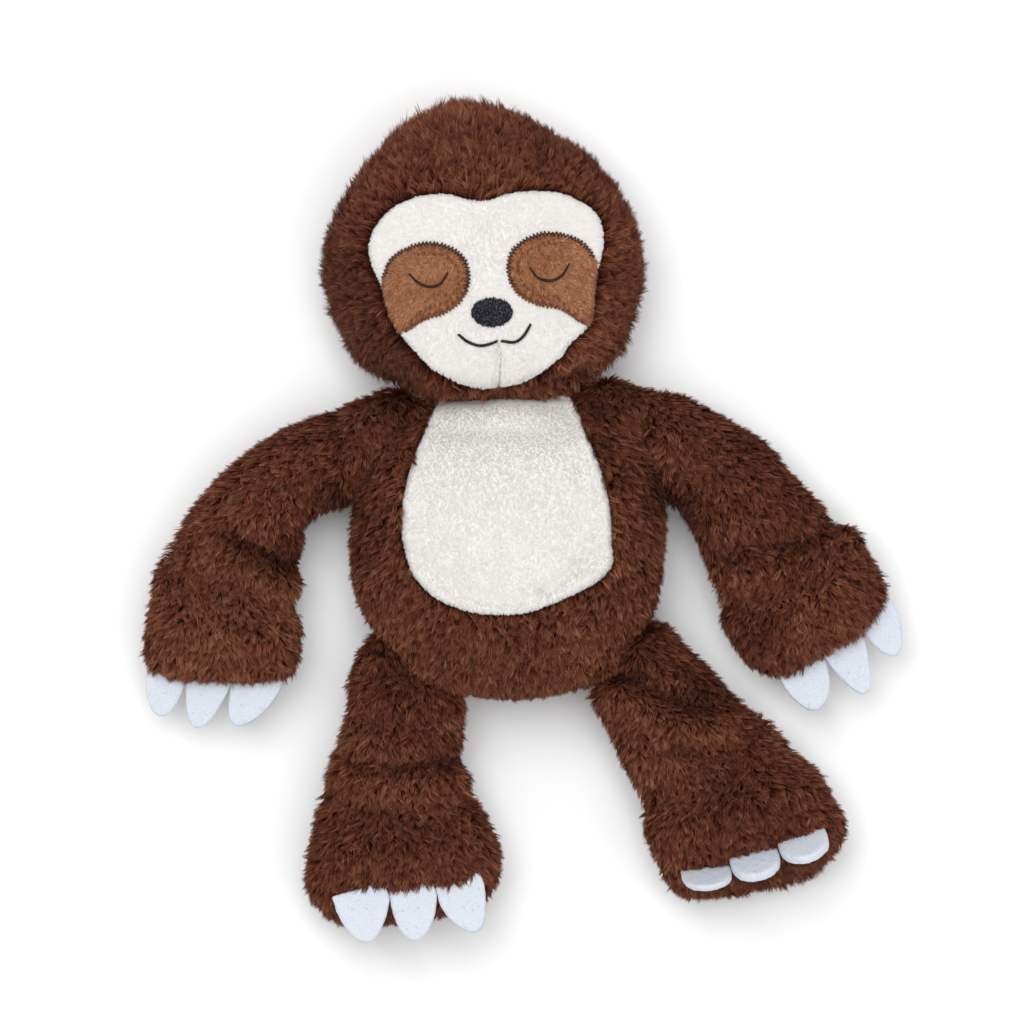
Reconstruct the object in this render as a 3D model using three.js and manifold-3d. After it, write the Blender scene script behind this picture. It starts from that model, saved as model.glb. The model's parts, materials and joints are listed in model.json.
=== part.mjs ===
// Plush sloth lying on its back, built as it is sewn: pile fabric covers in front and back panels,
// fibre filling, short-pile face and belly panels, applique, embroidery and felt claws.
// Millimetres, +Z up from the surface it lies on, +Y towards the crown, +X to its own left side.
import * as THREE from "three";
import { mergeVertices } from "three/addons/utils/BufferGeometryUtils.js";
import Module from "manifold-3d";

const wasm = await Module();
wasm.setup();

// Middle of the neck fold, measured from the middle of the whole toy's outline
const neckAcross = -5;
const neckUp = 49;

// Fabric and fits
const coverThickness = 7; // backing cloth and the pile that lies over it
const shortPile = 4; // panel of short-pile fabric
const pileStep = 3; // how far a short-pile panel lies below the long pile
const gap = 0.3; // between pieces that touch
const fillGap = 0.6; // between the filling and the cover round it
const restSink = 0.5; // what the surface flattens at the underside
const thinnestFill = 1.5;
const overrun = 20; // how far a cutting solid reaches past what it cuts
const sectionPower = 2.3; // 2 is an ellipse, more is fuller at the corners

// Torso
const torsoWidth = 130;
const torsoLength = 121;
const torsoRise = 40; // from the side seams to the belly
const torsoSeamHeight = 24; // side seams above the surface
const torsoTilt = 2.2; // degrees
const neckReach = 5; // rounding of the torso's end at the neck
const crotchReach = 12;
const hipSeamRise = 15; // the right hip seam's upper end, above the crotch
const raisedHipSeamRise = 27; // the left one's, of the leg that lies further out
const hipSeamDrop = 1.5; // their lower ends
const raisedHipSeamDrop = 3.5;

// Head
const headWidth = 129;
const headHeight = 119;
const headRise = 43;
const headSeamHeight = 30;
const headTilt = 6.5; // degrees
const headAside = -4; // the head's base lies this far off the torso's middle line
const neckFoldRadius = 8;
const crownReach = 17;
const chinWidth = 88; // the chin's own bulge, over the neck fold
const chinLength = 50;
const chinDepth = 36;
const chinUp = 17.5; // its middle, above the neck fold's axis
const chinHeight = 49; // above the surface

// Face
const faceWidth = 95;
const faceHeight = 80;
const faceUp = 3.2; // chin above the neck fold
const faceAside = 1.2; // off the head's middle line
const faceTurn = -1.5; // degrees, against the head
const patchThickness = 1.2;
const threadWidth = 1.8;
const threadThickness = 1;
const noseWidth = 16.5;
const noseHeight = 11.5;
const noseThickness = 2.2;

// Belly panel
const bellyWidth = 84;
const bellyHeight = 87;
const bellyAside = -1.5;

// Arms and paws
const arm = {
  forms: ["arm", "paw"],
  covers: [
    ["front", "back"],
    ["top", "palm"],
  ],
  foldFrom: 4, // where the shoulder seam starts and ends, below the neck
  foldTo: 46,
  foldRadius: 8,
  bendRadius: 11,
  bendFree: 54, // degrees that the wrist's groove opens each way
  rootWidth: 46,
  bendWidth: 58,
  endWidth: 65,
  rise: 19,
  endRise: 20,
  seamHeight: 21,
  endSeamHeight: 21,
  endReach: 10,
  bendShare: 0.6,
  riseShares: [0, 0.8, 1, 0.94, 0],
  clawWidth: 19, // of the one nearest the body
  clawWidthShares: [1, 0.92, 0.82],
  clawLength: 17,
};

// Legs and feet
const leg = {
  forms: ["leg", "foot"],
  covers: [
    ["front", "back"],
    ["top", "sole"],
  ],
  foldFrom: torsoLength - hipSeamRise,
  foldTo: torsoLength - hipSeamDrop,
  foldRadius: 9,
  bendRadius: 13,
  bendFree: 54,
  rootWidth: 49,
  bendWidth: 60,
  endWidth: 79,
  rise: 22,
  endRise: 24,
  seamHeight: 23,
  endSeamHeight: 33,
  endReach: 12,
  bendShare: 0.36,
  riseShares: [0, 0.3, 0.85, 1, 0],
  clawWidth: 19.5,
  clawWidthShares: [1, 1, 1],
  clawLength: 18,
};

// Each limb's middle line from its seam to its end, as shares of how far it reaches out and down
const rightArm = {
  ...arm,
  side: -1,
  reachOut: 48.5,
  reachDown: 80,
  outShares: [0, 0.28, 0.68, 0.9, 0.98, 1],
  downShares: [0, 0.14, 0.38, 0.65, 0.84, 1],
  slant: 0,
  clawTurn: -12, // degrees, towards the body
  clawSpread: -7, // degrees between neighbours
  clawPitch: 4, // degrees above level
};

const leftArm = {
  ...arm,
  side: 1,
  reachOut: 59,
  reachDown: 74,
  outShares: [0, 0.25, 0.52, 0.74, 0.885, 1],
  downShares: [0, 0.17, 0.43, 0.72, 0.87, 1],
  slant: 0,
  clawTurn: 12,
  clawSpread: 3,
  clawPitch: 4,
};

const rightLeg = {
  ...leg,
  side: -1,
  reachOut: 5,
  reachDown: 69.5,
  outShares: [0, 0.8, 1.1, 1, 0.8, 0.5],
  downShares: [0, 0.2, 0.42, 0.64, 0.84, 1],
  slant: 12, // how far the sole's end reaches past the middle
  clawTurn: 12,
  clawSpread: 1,
  clawPitch: 14,
};

const leftLeg = {
  ...leg,
  side: 1,
  foldFrom: torsoLength - raisedHipSeamRise,
  foldTo: torsoLength - raisedHipSeamDrop,
  reachOut: 39,
  reachDown: 67,
  outShares: [0, 0.18, 0.46, 0.72, 0.88, 1],
  downShares: [0, 0.22, 0.425, 0.6, 0.81, 1],
  slant: 10,
  clawTurn: 8,
  clawSpread: 3,
  clawPitch: 65,
};

// Felt claws
const clawThickness = 3.2;
const clawRootShare = 0.6; // of the cover's thickness, held in the seam
const clawGap = 1; // between neighbours

// Mesh density of the stuffed forms
const bigSides = 18;
const bigRows = 10;
const limbSides = 12;
const limbRows = 6;
const outlineSteps = 36;
const roundSides = 24;

// Torso outline, from the neck to the crotch
const torsoAtShares = [0, 0.06, 0.2, 0.4, 0.6, 0.78, 0.92, 1];
const torsoWidthShares = [0.72, 0.84, 0.94, 1, 0.99, 0.93, 0.82, 0.72];
const torsoRiseShares = [0.36, 0.62, 0.87, 0.99, 1, 0.94, 0.8, 0.66];

// Head outline, from the neck fold to the crown
const headAtShares = [0, 0.07, 0.2, 0.36, 0.54, 0.7, 0.86, 1];
const headWidthShares = [0.68, 0.85, 0.95, 1, 0.99, 0.92, 0.75, 0.5];
const headRiseShares = [0.2, 0.66, 0.88, 0.98, 1, 0.97, 0.86, 0.7];

// Face outline: half widths as shares of half the face's width, heights as shares of its height
const faceAcrossShares = [0, 0.22, 0.53, 0.78, 0.9, 0.97, 0.99, 0.97, 0.87, 0.7, 0.46, 0.24, 0.07];
const faceUpShares = [0, 0.015, 0.11, 0.3, 0.45, 0.6, 0.7, 0.79, 0.88, 0.95, 0.985, 0.972, 0.945];

// Eye patch in shares of the same two sizes, from its inner side over the top
const patchAcrossShares = [0.16, 0.19, 0.3, 0.49, 0.69, 0.84, 0.92, 0.86, 0.77, 0.59, 0.38, 0.23];
const patchUpShares = [0.55, 0.65, 0.71, 0.745, 0.72, 0.66, 0.57, 0.4, 0.31, 0.36, 0.39, 0.45];

// Embroidered lines, in shares of the same two sizes
const eyelidAcrossShares = [0.34, 0.41, 0.51, 0.6, 0.67];
const eyelidUpShares = [0.58, 0.53, 0.513, 0.535, 0.59];
const mouthAcrossShares = [0, 0.14, 0.23, 0.31];
const mouthUpShares = [0.222, 0.21, 0.238, 0.288];
const noseUpShare = 0.37;

// Belly outline: half widths and drops below the neck, as shares of the panel's sizes
const bellyAcrossShares = [0.35, 0.64, 0.76, 0.92, 1, 0.98, 0.86, 0.6, 0.25];
const bellyDownShares = [0.035, 0.045, 0.16, 0.34, 0.54, 0.7, 0.84, 0.94, 0.995];

// Where along its way each limb piece's thickness is given, from its fold, and an end's sizes there
const limbAtShares = [0, 0.25, 0.55, 0.85, 1];
const endAtShares = [0, 0.25, 0.5, 0.75, 1];
const endRiseShares = [0.4, 0.85, 1, 0.97, 0.72];
const endWidthShares = [0, 0.45, 0.85, 1, 0.97];

// How an end rounds off: places along its reach, and how much narrower its tip gets
const roundShares = [0.25, 0.5, 0.78, 0.96];
const squareTipShare = 0.3;
const domeTipShare = 1;

const vertical = new THREE.Vector3(0, 0, 1);
const toRadians = THREE.MathUtils.degToRad;
const lerp = THREE.MathUtils.lerp;
const tallest = headSeamHeight + headRise + overrun;

function finish(color, roughness) {
  return new THREE.MeshStandardMaterial({ color, roughness, metalness: 0 });
}

const brownPile = finish(0x4f2b1c, 0.95);
const whitePile = finish(0xf1ece6, 0.9);
const tanPile = finish(0x8d5a38, 0.9);
const blackThread = finish(0x16161d, 0.6);
const brownThread = finish(0x2c1813, 0.6);
const whiteFelt = finish(0xdfe5f0, 0.95);
const fibreFill = finish(0xf6f6f2, 1);

// A closed geometry as a solid that can be cut and joined
function solidOf(geometry) {
  const plain = geometry.clone();
  plain.deleteAttribute("normal");
  plain.deleteAttribute("uv");
  const merged = mergeVertices(plain, 1e-4);
  return new wasm.Manifold(
    new wasm.Mesh({
      numProp: 3,
      vertProperties: merged.attributes.position.array,
      triVerts: new Uint32Array(merged.index.array),
    }),
  );
}

function piece(name, solid, material) {
  const { vertProperties, numProp, triVerts } = solid.getMesh();
  const geometry = new THREE.BufferGeometry();
  geometry.setAttribute("position", new THREE.BufferAttribute(vertProperties, numProp));
  geometry.setIndex(new THREE.BufferAttribute(triVerts, 1));
  geometry.computeVertexNormals();
  const mesh = new THREE.Mesh(geometry, material);
  mesh.name = name;
  return mesh;
}

// Points round one section: out to the sides, and up and down from the seam
function sectionPoints(row, sides) {
  const rounded = (value) => Math.sign(value) * Math.abs(value) ** (2 / sectionPower);
  return Array.from({ length: sides }, (_, i) => {
    const angle = (2 * Math.PI * i) / sides;
    const [across, height] = [rounded(Math.cos(angle)), rounded(Math.sin(angle))];
    return row.centre
      .clone()
      .addScaledVector(row.side, row.halfWidth * across)
      .addScaledVector(row.lead, -row.slant * height)
      .addScaledVector(vertical, height * (height > 0 ? row.up : row.down));
  });
}

// Rows that round off an end: a quarter ellipse that reaches past its last row
function endRows(row, outward, reach, tipShare) {
  return roundShares.map((share) => {
    const left = Math.sqrt(1 - share * share);
    return {
      ...row,
      centre: row.centre.clone().addScaledVector(outward, reach * share),
      halfWidth: row.halfWidth * (1 - tipShare * (1 - left)),
      up: row.up * left,
      down: row.down * left,
      slant: row.slant * left,
    };
  });
}

// A solid through rows of sections, closed to a tip at both ends
function loft(rows, sides, firstTip, lastTip) {
  const points = rows.flatMap((row) => sectionPoints(row, sides));
  const first = points.length;
  points.push(firstTip, lastTip);
  const index = [];
  for (let i = 0; i < sides; i++) {
    const next = (i + 1) % sides;
    index.push(first, i, next, first + 1, first - sides + next, first - sides + i);
    for (let start = 0; start + sides < first; start += sides) {
      const [a, b] = [start + i, start + next];
      index.push(a, b + sides, b, a, a + sides, b + sides);
    }
  }
  const geometry = new THREE.BufferGeometry().setFromPoints(points);
  geometry.setIndex(index);
  return solidOf(geometry);
}

// Value at a share of the way, on a smooth line through a table
function smooth(atShares, values, at) {
  const points = atShares.map((share, i) => new THREE.Vector3(share, values[i], 0));
  const curve = new THREE.CatmullRomCurve3(points, false, "centripetal");
  let [low, high] = [0, 1];
  for (let i = 0; i < 24; i++) {
    const middle = (low + high) / 2;
    if (curve.getPoint(middle).x < at) low = middle;
    else high = middle;
  }
  return curve.getPoint((low + high) / 2).y;
}

// Row of a stuffed form at a share of its way along its path
function formRow(form, share, inset) {
  const at = lerp(form.from, form.to, share);
  const tangent = form.path.getTangentAt(at).setZ(0).normalize();
  const side = tangent.clone().cross(vertical);
  if (form.rootSide) {
    const root = form.rootSide.clone().multiplyScalar(Math.sign(side.dot(form.rootSide)));
    side.lerp(root, 1 - THREE.MathUtils.smoothstep(share, 0, form.rootShare)).normalize();
  }
  const { halfWidth, up, down } = form.sizeAt(share);
  return {
    centre: form.path.getPointAt(at),
    lead: vertical.clone().cross(side),
    side,
    halfWidth: halfWidth - inset,
    up: up - inset,
    down: down - inset,
    slant: up > 0 ? form.slant * share * share * (1 - inset / up) : 0,
  };
}

// A slab over the whole toy between two heights
function slab(low, high) {
  const reach = 2 * (torsoLength + headHeight + torsoWidth);
  const geometry = new THREE.BoxGeometry(reach, reach, high - low);
  geometry.translate(0, 0, (low + high) / 2);
  return solidOf(geometry);
}

// A round bulge, drawn in all round by an inset
function bulgeOf(bulge, inset) {
  const geometry = new THREE.SphereGeometry(1, bigSides, bigRows);
  const radii = bulge.size.clone().multiplyScalar(0.5).subScalar(inset);
  return solidOf(geometry.rotateX(Math.PI / 2).scale(radii.x, radii.y, radii.z).translate(...bulge.centre));
}

// A stuffed form along its path; inset draws it in all round, for its hollow and its filling
function stuffedForm(form, inset = 0) {
  const count = inset < coverThickness ? form.rows : form.rows - 1;
  const least = inset + thinnestFill + (inset < coverThickness ? 0 : coverThickness + fillGap - inset);
  const everyShare = Array.from({ length: count + 1 }, (_, i) => i / count);
  const shares = everyShare.filter((share) => {
    const { halfWidth, up, down } = form.sizeAt(share);
    return Math.min(halfWidth, up, down) > least;
  });
  const final = shares.length - 1;
  const startReach = shares[0] === 0 ? Math.max(0, form.startReach - inset) : 0;
  const endReach = shares[final] === 1 ? Math.max(0, form.endReach - inset) : 0;
  const within = Math.max(0, inset - coverThickness) / (form.path.getLength() * (form.to - form.from));
  if (startReach === 0) shares[0] += within;
  if (endReach === 0) shares[final] -= within;
  const rows = shares.map((share) => formRow(form, share, inset));
  const [first, last] = [rows[0], rows[final]];
  const back = first.lead.clone().negate();
  const all = [
    ...(startReach > 0 ? endRows(first, back, startReach, squareTipShare).reverse() : []),
    ...rows,
    ...(endReach > 0 ? endRows(last, last.lead, endReach, form.tipShare) : []),
  ];
  const tips = [
    first.centre.clone().addScaledVector(back, startReach),
    last.centre.clone().addScaledVector(last.lead, endReach),
  ];
  const body = loft(all, form.sides, ...tips);
  const whole = form.bulge ? body.add(bulgeOf(form.bulge, inset)) : body;
  return whole.subtract(slab(-overrun - coverThickness, 0));
}

// An upright prism over an outline, from a height to above everything
function prism(points, low) {
  const shape = new THREE.Shape(points);
  const geometry = new THREE.ExtrudeGeometry(shape, { depth: tallest - low, bevelEnabled: false });
  geometry.translate(0, 0, low);
  return solidOf(geometry);
}

// A smooth closed outline through points
function closedOutline(points, count) {
  const flat = points.map((p) => new THREE.Vector3(p.x, p.y, 0));
  const curve = new THREE.CatmullRomCurve3(flat, true, "centripetal");
  const outline = curve.getPoints(count).slice(0, count);
  return outline.map((p) => new THREE.Vector2(p.x, p.y));
}

// An outline's left half and its mirror image, moved aside together
function mirrored(half, aside) {
  const other = half.filter((p) => p.x !== 0).map((p) => new THREE.Vector2(-p.x, p.y));
  return [...half, ...other.reverse()].map((p) => new THREE.Vector2(p.x + aside, p.y));
}

// An outline drawn in by the gap towards a middle that lies half its size away
function drawnIn(outline, middle, halfSize) {
  return outline.map((p) => p.clone().lerp(middle, gap / halfSize));
}

function cutFrom(solid, cuts) {
  return cuts.reduce((made, cut) => made.subtract(cut), solid);
}

// Covers of a form, above and below its seam, with what is cut from both
function coverPair(names, outer, hollow, seamHeight, cuts = []) {
  const cover = cutFrom(outer.subtract(hollow), cuts);
  return [
    piece(names[0], cover.subtract(slab(-overrun, seamHeight + gap / 2)), brownPile),
    piece(names[1], cover.subtract(slab(seamHeight - gap / 2, tallest)), brownPile),
  ];
}

// What fills a form, kept inside the hollow of its covers
function filling(name, form, hollow) {
  const stuffing = stuffedForm(form, coverThickness + fillGap);
  return piece(`${name}_filling`, stuffing.intersect(hollow), fibreFill);
}

// A group that turns about an axis through a centre, both in its own frame
function hingedGroup(parent, position, centre, axis) {
  const group = new THREE.Group();
  group.position.copy(position);
  group.userData.hinge = { centre, axis };
  parent.add(group);
  return group;
}

const torsoForm = {
  path: new THREE.LineCurve3(
    new THREE.Vector3(0, -neckReach, torsoSeamHeight),
    new THREE.Vector3(0, crotchReach - torsoLength, torsoSeamHeight),
  ),
  from: 0,
  to: 1,
  rows: bigRows,
  sides: bigSides,
  startReach: neckReach,
  endReach: crotchReach,
  tipShare: domeTipShare,
  slant: 0,
  sizeAt: (share) => {
    const rise = smooth(torsoAtShares, torsoRiseShares, share);
    return {
      halfWidth: (torsoWidth / 2) * smooth(torsoAtShares, torsoWidthShares, share),
      up: torsoRise * rise,
      down: (torsoSeamHeight + restSink) * rise ** 0.6,
    };
  },
};

function buildTorso(group) {
  const half = bellyAcrossShares.map(
    (across, i) => new THREE.Vector2((bellyWidth / 2) * across, -bellyHeight * bellyDownShares[i]),
  );
  const outline = closedOutline(mirrored(half, bellyAside), outlineSteps);
  const middle = new THREE.Vector2(bellyAside, -bellyHeight / 2);
  const inner = drawnIn(outline, middle, bellyWidth / 2);
  const lowered = stuffedForm(torsoForm, pileStep);
  const layer = lowered.subtract(stuffedForm(torsoForm, pileStep + shortPile));
  const names = ["body_front_cover", "body_back_cover"];
  const hollow = stuffedForm(torsoForm, coverThickness);
  const opening = prism(outline, torsoSeamHeight);
  group.add(
    ...coverPair(names, stuffedForm(torsoForm), hollow, torsoSeamHeight, [opening]),
    piece("belly_panel", layer.intersect(prism(inner, torsoSeamHeight)), whitePile),
    filling("body", torsoForm, hollow),
  );
}

const headForm = {
  path: new THREE.CatmullRomCurve3([
    new THREE.Vector3(0, 0, torsoSeamHeight),
    new THREE.Vector3(0, headHeight / 4, (torsoSeamHeight + 2 * headSeamHeight) / 3),
    new THREE.Vector3(0, headHeight / 2, headSeamHeight),
    new THREE.Vector3(0, headHeight - crownReach - neckFoldRadius, headSeamHeight),
  ]),
  from: 0,
  to: 1,
  rows: bigRows,
  sides: bigSides,
  startReach: neckFoldRadius,
  endReach: crownReach,
  tipShare: domeTipShare,
  slant: 0,
  bulge: {
    centre: new THREE.Vector3(faceAside, chinUp, chinHeight),
    size: new THREE.Vector3(chinWidth, chinLength, chinDepth),
  },
  rootSide: new THREE.Vector3(1, 0, 0).applyAxisAngle(vertical, toRadians(torsoTilt - headTilt)),
  rootShare: 0.25,
  sizeAt: (share) => {
    const rise = smooth(headAtShares, headRiseShares, share);
    const fold = Math.max(0, 1 - share / headAtShares[1]);
    return {
      halfWidth: (headWidth / 2) * smooth(headAtShares, headWidthShares, share),
      up: lerp(headRise * rise, neckFoldRadius, fold),
      down: lerp((headSeamHeight + restSink) * rise ** 0.7, neckFoldRadius, fold),
    };
  },
};

// A place on the face, in shares of half its width and of its height
function onFace(across, up) {
  const foot = new THREE.Vector2(faceAside, faceUp - neckFoldRadius);
  const place = new THREE.Vector2((faceWidth / 2) * across, faceHeight * up);
  return place.rotateAround(new THREE.Vector2(), toRadians(faceTurn)).add(foot);
}

// A band of even width along a smooth line through points, as an outline
function band(points, width) {
  const curve = new THREE.SplineCurve(points);
  const steps = 10;
  const edges = [[], []];
  for (let i = 0; i <= steps; i++) {
    const tangent = curve.getTangent(i / steps);
    const out = new THREE.Vector2(tangent.y, -tangent.x).multiplyScalar(width / 2);
    edges[0].push(curve.getPoint(i / steps).add(out));
    edges[1].push(curve.getPoint(i / steps).sub(out));
  }
  return [...edges[0], ...edges[1].reverse()];
}

// A layer of the head between two depths below the long pile's surface, inside an outline
function headLayer(outline, depth, thickness) {
  const layer = stuffedForm(headForm, depth).subtract(stuffedForm(headForm, depth + thickness));
  return layer.intersect(prism(outline, headSeamHeight));
}

// Eye patch and closed eyelid of one side, on the face panel
function eye(side, label, inside) {
  const places = (across, up) => across.map((value, i) => onFace(side * value, up[i]));
  const patch = closedOutline(places(patchAcrossShares, patchUpShares), outlineSteps);
  const lid = places(eyelidAcrossShares, eyelidUpShares);
  const patchDepth = pileStep - gap - patchThickness;
  const lidDepth = patchDepth - gap - threadThickness;
  const lidOutline = band(side > 0 ? lid : lid.reverse(), threadWidth);
  return [
    piece(`eye_patch_${label}`, headLayer(patch, patchDepth, patchThickness).intersect(inside), tanPile),
    piece(`eyelid_${label}`, headLayer(lidOutline, lidDepth, threadThickness), brownThread),
  ];
}

function buildHead(group) {
  const half = (side) => faceAcrossShares.map((across, i) => onFace(side * across, faceUpShares[i]));
  const outline = closedOutline([...half(1), ...half(-1).slice(1).reverse()], outlineSteps);
  const inner = drawnIn(outline, onFace(0, 0.5), faceWidth / 2);
  const opening = prism(outline, headSeamHeight);
  const names = ["head_front_cover", "head_back_cover"];
  const hollow = stuffedForm(headForm, coverThickness);
  const round = new THREE.EllipseCurve(...onFace(0, noseUpShare), noseWidth / 2, noseHeight / 2);
  const mouthHalf = (side) => mouthAcrossShares.map((across, i) => onFace(side * across, mouthUpShares[i]));
  const mouthLine = [...mouthHalf(-1).reverse(), ...mouthHalf(1).slice(1)];
  const noseOutline = round.getPoints(roundSides).slice(1);
  const mouthOutline = band(mouthLine, threadWidth);
  const mouthDepth = pileStep - gap - threadThickness;
  group.add(
    ...coverPair(names, stuffedForm(headForm), hollow, headSeamHeight, [opening]),
    filling("head", headForm, hollow),
    piece("face_panel", headLayer(inner, pileStep, shortPile), whitePile),
    ...eye(1, "left", prism(inner, headSeamHeight)),
    ...eye(-1, "right", prism(inner, headSeamHeight)),
    piece("nose", headLayer(noseOutline, pileStep - gap - noseThickness, noseThickness), blackThread),
    piece("mouth", headLayer(mouthOutline, mouthDepth, threadThickness), blackThread),
  );
}

// Half the torso's width at a drop below the neck
function torsoHalfWidth(drop) {
  const run = torsoLength - neckReach - crotchReach;
  const past = Math.max(0, drop - neckReach - run) / crotchReach;
  return torsoForm.sizeAt(Math.min(1, (drop - neckReach) / run)).halfWidth * Math.sqrt(1 - past * past);
}

// A straight fold along the torso's outline between two drops below the neck, clear of its bulge.
// Its direction is that of the axis that a limb turns about as it swings towards the belly.
function outlineFold(limb) {
  const at = (drop) => new THREE.Vector3(limb.side * torsoHalfWidth(drop), -drop, 0);
  const [top, bottom] = [at(limb.foldFrom), at(limb.foldTo)];
  const along = bottom.clone().sub(top).normalize();
  const outward = along.clone().cross(vertical).multiplyScalar(-limb.side);
  const steps = 20;
  let bulge = 0;
  for (let i = 0; i <= steps; i++) {
    const point = at(lerp(limb.foldFrom, limb.foldTo, i / steps));
    bulge = Math.max(bulge, point.sub(top).dot(outward));
  }
  const centre = top.clone().add(bottom).multiplyScalar(0.5);
  centre.addScaledVector(outward, bulge + limb.foldRadius + gap);
  return { centre, along: along.multiplyScalar(limb.side) };
}

// A felt claw along its own -Y axis: a tongue with its root behind the origin
function clawGeometry(width, length, root, thickness) {
  const half = width / 2;
  const straight = -length / 4;
  const shape = new THREE.Shape();
  shape.moveTo(-half, root);
  shape.lineTo(-half, straight);
  shape.bezierCurveTo(-half, 3 * straight, -half / 2, -length, 0, -length);
  shape.bezierCurveTo(half / 2, -length, half, 3 * straight, half, straight);
  shape.lineTo(half, root);
  shape.closePath();
  const settings = { depth: thickness, bevelEnabled: false, curveSegments: 6 };
  return new THREE.ExtrudeGeometry(shape, settings).translate(0, 0, -thickness / 2);
}

// Three claws side by side in the seam at a limb's end, and the slots that hold them
function claws(name, limb, form) {
  const end = formRow(form, 1, 0);
  const rise = (limb.endSeamHeight - end.centre.z) / end.up;
  const out = form.endReach * Math.sqrt(1 - rise * rise) - end.slant * rise;
  const inward = end.side.clone().multiplyScalar(Math.sign(-limb.side * end.side.x));
  const facing = Math.atan2(end.lead.x, -end.lead.y);
  const widths = limb.clawWidthShares.map((share) => limb.clawWidth * share);
  let aside = (widths[0] + widths[1] + widths[2]) / 2 + clawGap;
  return widths.map((width, i) => {
    const place = new THREE.Object3D();
    place.position.copy(end.centre).addScaledVector(end.lead, out);
    place.position.addScaledVector(inward, aside - width / 2).setZ(limb.endSeamHeight);
    aside -= width + clawGap;
    const lean = limb.side * (limb.clawSpread * (i - 1) - limb.clawTurn);
    place.rotation.set(-toRadians(limb.clawPitch), 0, facing + toRadians(lean), "ZYX");
    place.updateMatrix();
    const root = clawRootShare * coverThickness;
    const made = clawGeometry(width, limb.clawLength, root, clawThickness);
    const room = [width + 2 * gap, limb.clawLength + gap, root + gap, clawThickness + 2 * gap];
    return {
      mesh: piece(`${name}_claw_${i + 1}`, solidOf(made.applyMatrix4(place.matrix)), whiteFelt),
      slot: solidOf(clawGeometry(...room).applyMatrix4(place.matrix)),
    };
  });
}

// The piece of a limb next to the torso
function upperForm(limb, path, along) {
  return {
    path,
    from: 0,
    to: limb.bendShare,
    rows: limbRows,
    sides: limbSides,
    startReach: limb.foldRadius,
    endReach: limb.bendRadius,
    tipShare: squareTipShare,
    slant: 0,
    rootSide: along,
    rootShare: 0.85,
    sizeAt: (share) => {
      const rise = smooth(limbAtShares, limb.riseShares, share);
      const fold = share < 0.5 ? limb.foldRadius : limb.bendRadius;
      return {
        halfWidth: lerp(limb.rootWidth, limb.bendWidth, share ** 1.5) / 2,
        up: lerp(fold, limb.rise, rise),
        down: lerp(fold, limb.seamHeight + restSink, rise),
      };
    },
  };
}

// The paw or foot at a limb's end; it starts as a wedge that leaves the bend its room
function endForm(limb, path) {
  const length = path.getLength() * (1 - limb.bendShare);
  return {
    path,
    from: limb.bendShare,
    to: 1,
    rows: limbRows,
    sides: limbSides,
    startReach: 0,
    endReach: limb.endReach,
    tipShare: squareTipShare,
    slant: limb.slant,
    sizeAt: (share) => {
      const wedge = (share * length) / Math.tan(toRadians(limb.bendFree));
      const rise = smooth(endAtShares, endRiseShares, share);
      return {
        halfWidth: lerp(limb.bendWidth, limb.endWidth, smooth(endAtShares, endWidthShares, share)) / 2,
        up: Math.min(wedge, limb.endRise * rise),
        down: Math.min(wedge, (limb.seamHeight + restSink) * Math.sqrt(rise)),
      };
    },
  };
}

function limbPath(limb) {
  const points = limb.outShares.map((out, i) => {
    const [x, y] = [limb.side * limb.reachOut * out, -limb.reachDown * limb.downShares[i]];
    return new THREE.Vector3(x, y, i === 0 ? torsoSeamHeight : limb.seamHeight);
  });
  return new THREE.CatmullRomCurve3(points, false, "centripetal");
}

// Room for a bend: a cylinder round the hinge line, with flats clear of the radius
function bendRoom(centre, side, limb) {
  const radius = (limb.bendRadius + gap) / Math.cos(Math.PI / roundSides);
  const geometry = new THREE.CylinderGeometry(radius, radius, 2 * limb.endWidth, roundSides);
  const up = new THREE.Vector3(0, 1, 0);
  geometry.applyQuaternion(new THREE.Quaternion().setFromUnitVectors(up, side));
  return solidOf(geometry.translate(centre.x, centre.y, centre.z));
}

function buildLimb(toy, torso, limb) {
  const fold = outlineFold(limb);
  const turn = (v) => v.clone().applyAxisAngle(vertical, toRadians(torsoTilt));
  const along = turn(fold.along);
  const path = limbPath(limb);
  const [upper, end] = [upperForm(limb, path, along), endForm(limb, path)];
  const names = limb.forms.map((form) => `${limb.side > 0 ? "left" : "right"}_${form}`);
  const coverNames = names.map((name, i) => limb.covers[i].map((side) => `${name}_${side}_cover`));
  const bend = formRow(end, 0, 0);
  const room = bendRoom(bend.centre, bend.side, limb);
  const clawSet = claws(names[1], limb, end);
  const cuts = [room, ...clawSet.map((claw) => claw.slot)];
  const [upperHollow, endHollow] = [upper, end].map((form) => stuffedForm(form, coverThickness));
  const root = hingedGroup(toy, turn(fold.centre).add(torso.position), path.getPoint(0), along);
  root.add(
    ...coverPair(coverNames[0], stuffedForm(upper), upperHollow, limb.seamHeight),
    filling(names[0], upper, upperHollow),
  );
  const tip = hingedGroup(root, new THREE.Vector3(), bend.centre, bend.side);
  tip.add(
    ...coverPair(coverNames[1], stuffedForm(end), endHollow, limb.endSeamHeight, cuts),
    filling(names[1], end, cutFrom(endHollow, cuts)),
    ...clawSet.map((claw) => claw.mesh),
  );
}

const toy = new THREE.Group();

const torso = new THREE.Group();
torso.position.set(neckAcross, neckUp, 0);
torso.rotation.z = toRadians(torsoTilt);
toy.add(torso);
buildTorso(torso);

const neck = new THREE.Vector3(headAside, gap + neckFoldRadius, 0);
neck.applyAxisAngle(vertical, toRadians(torsoTilt)).add(torso.position);
const head = hingedGroup(toy, neck, headForm.path.getPoint(0), headForm.rootSide);
head.rotation.z = toRadians(headTilt);
buildHead(head);

for (const limb of [rightArm, leftArm, rightLeg, leftLeg]) buildLimb(toy, torso, limb);

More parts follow.
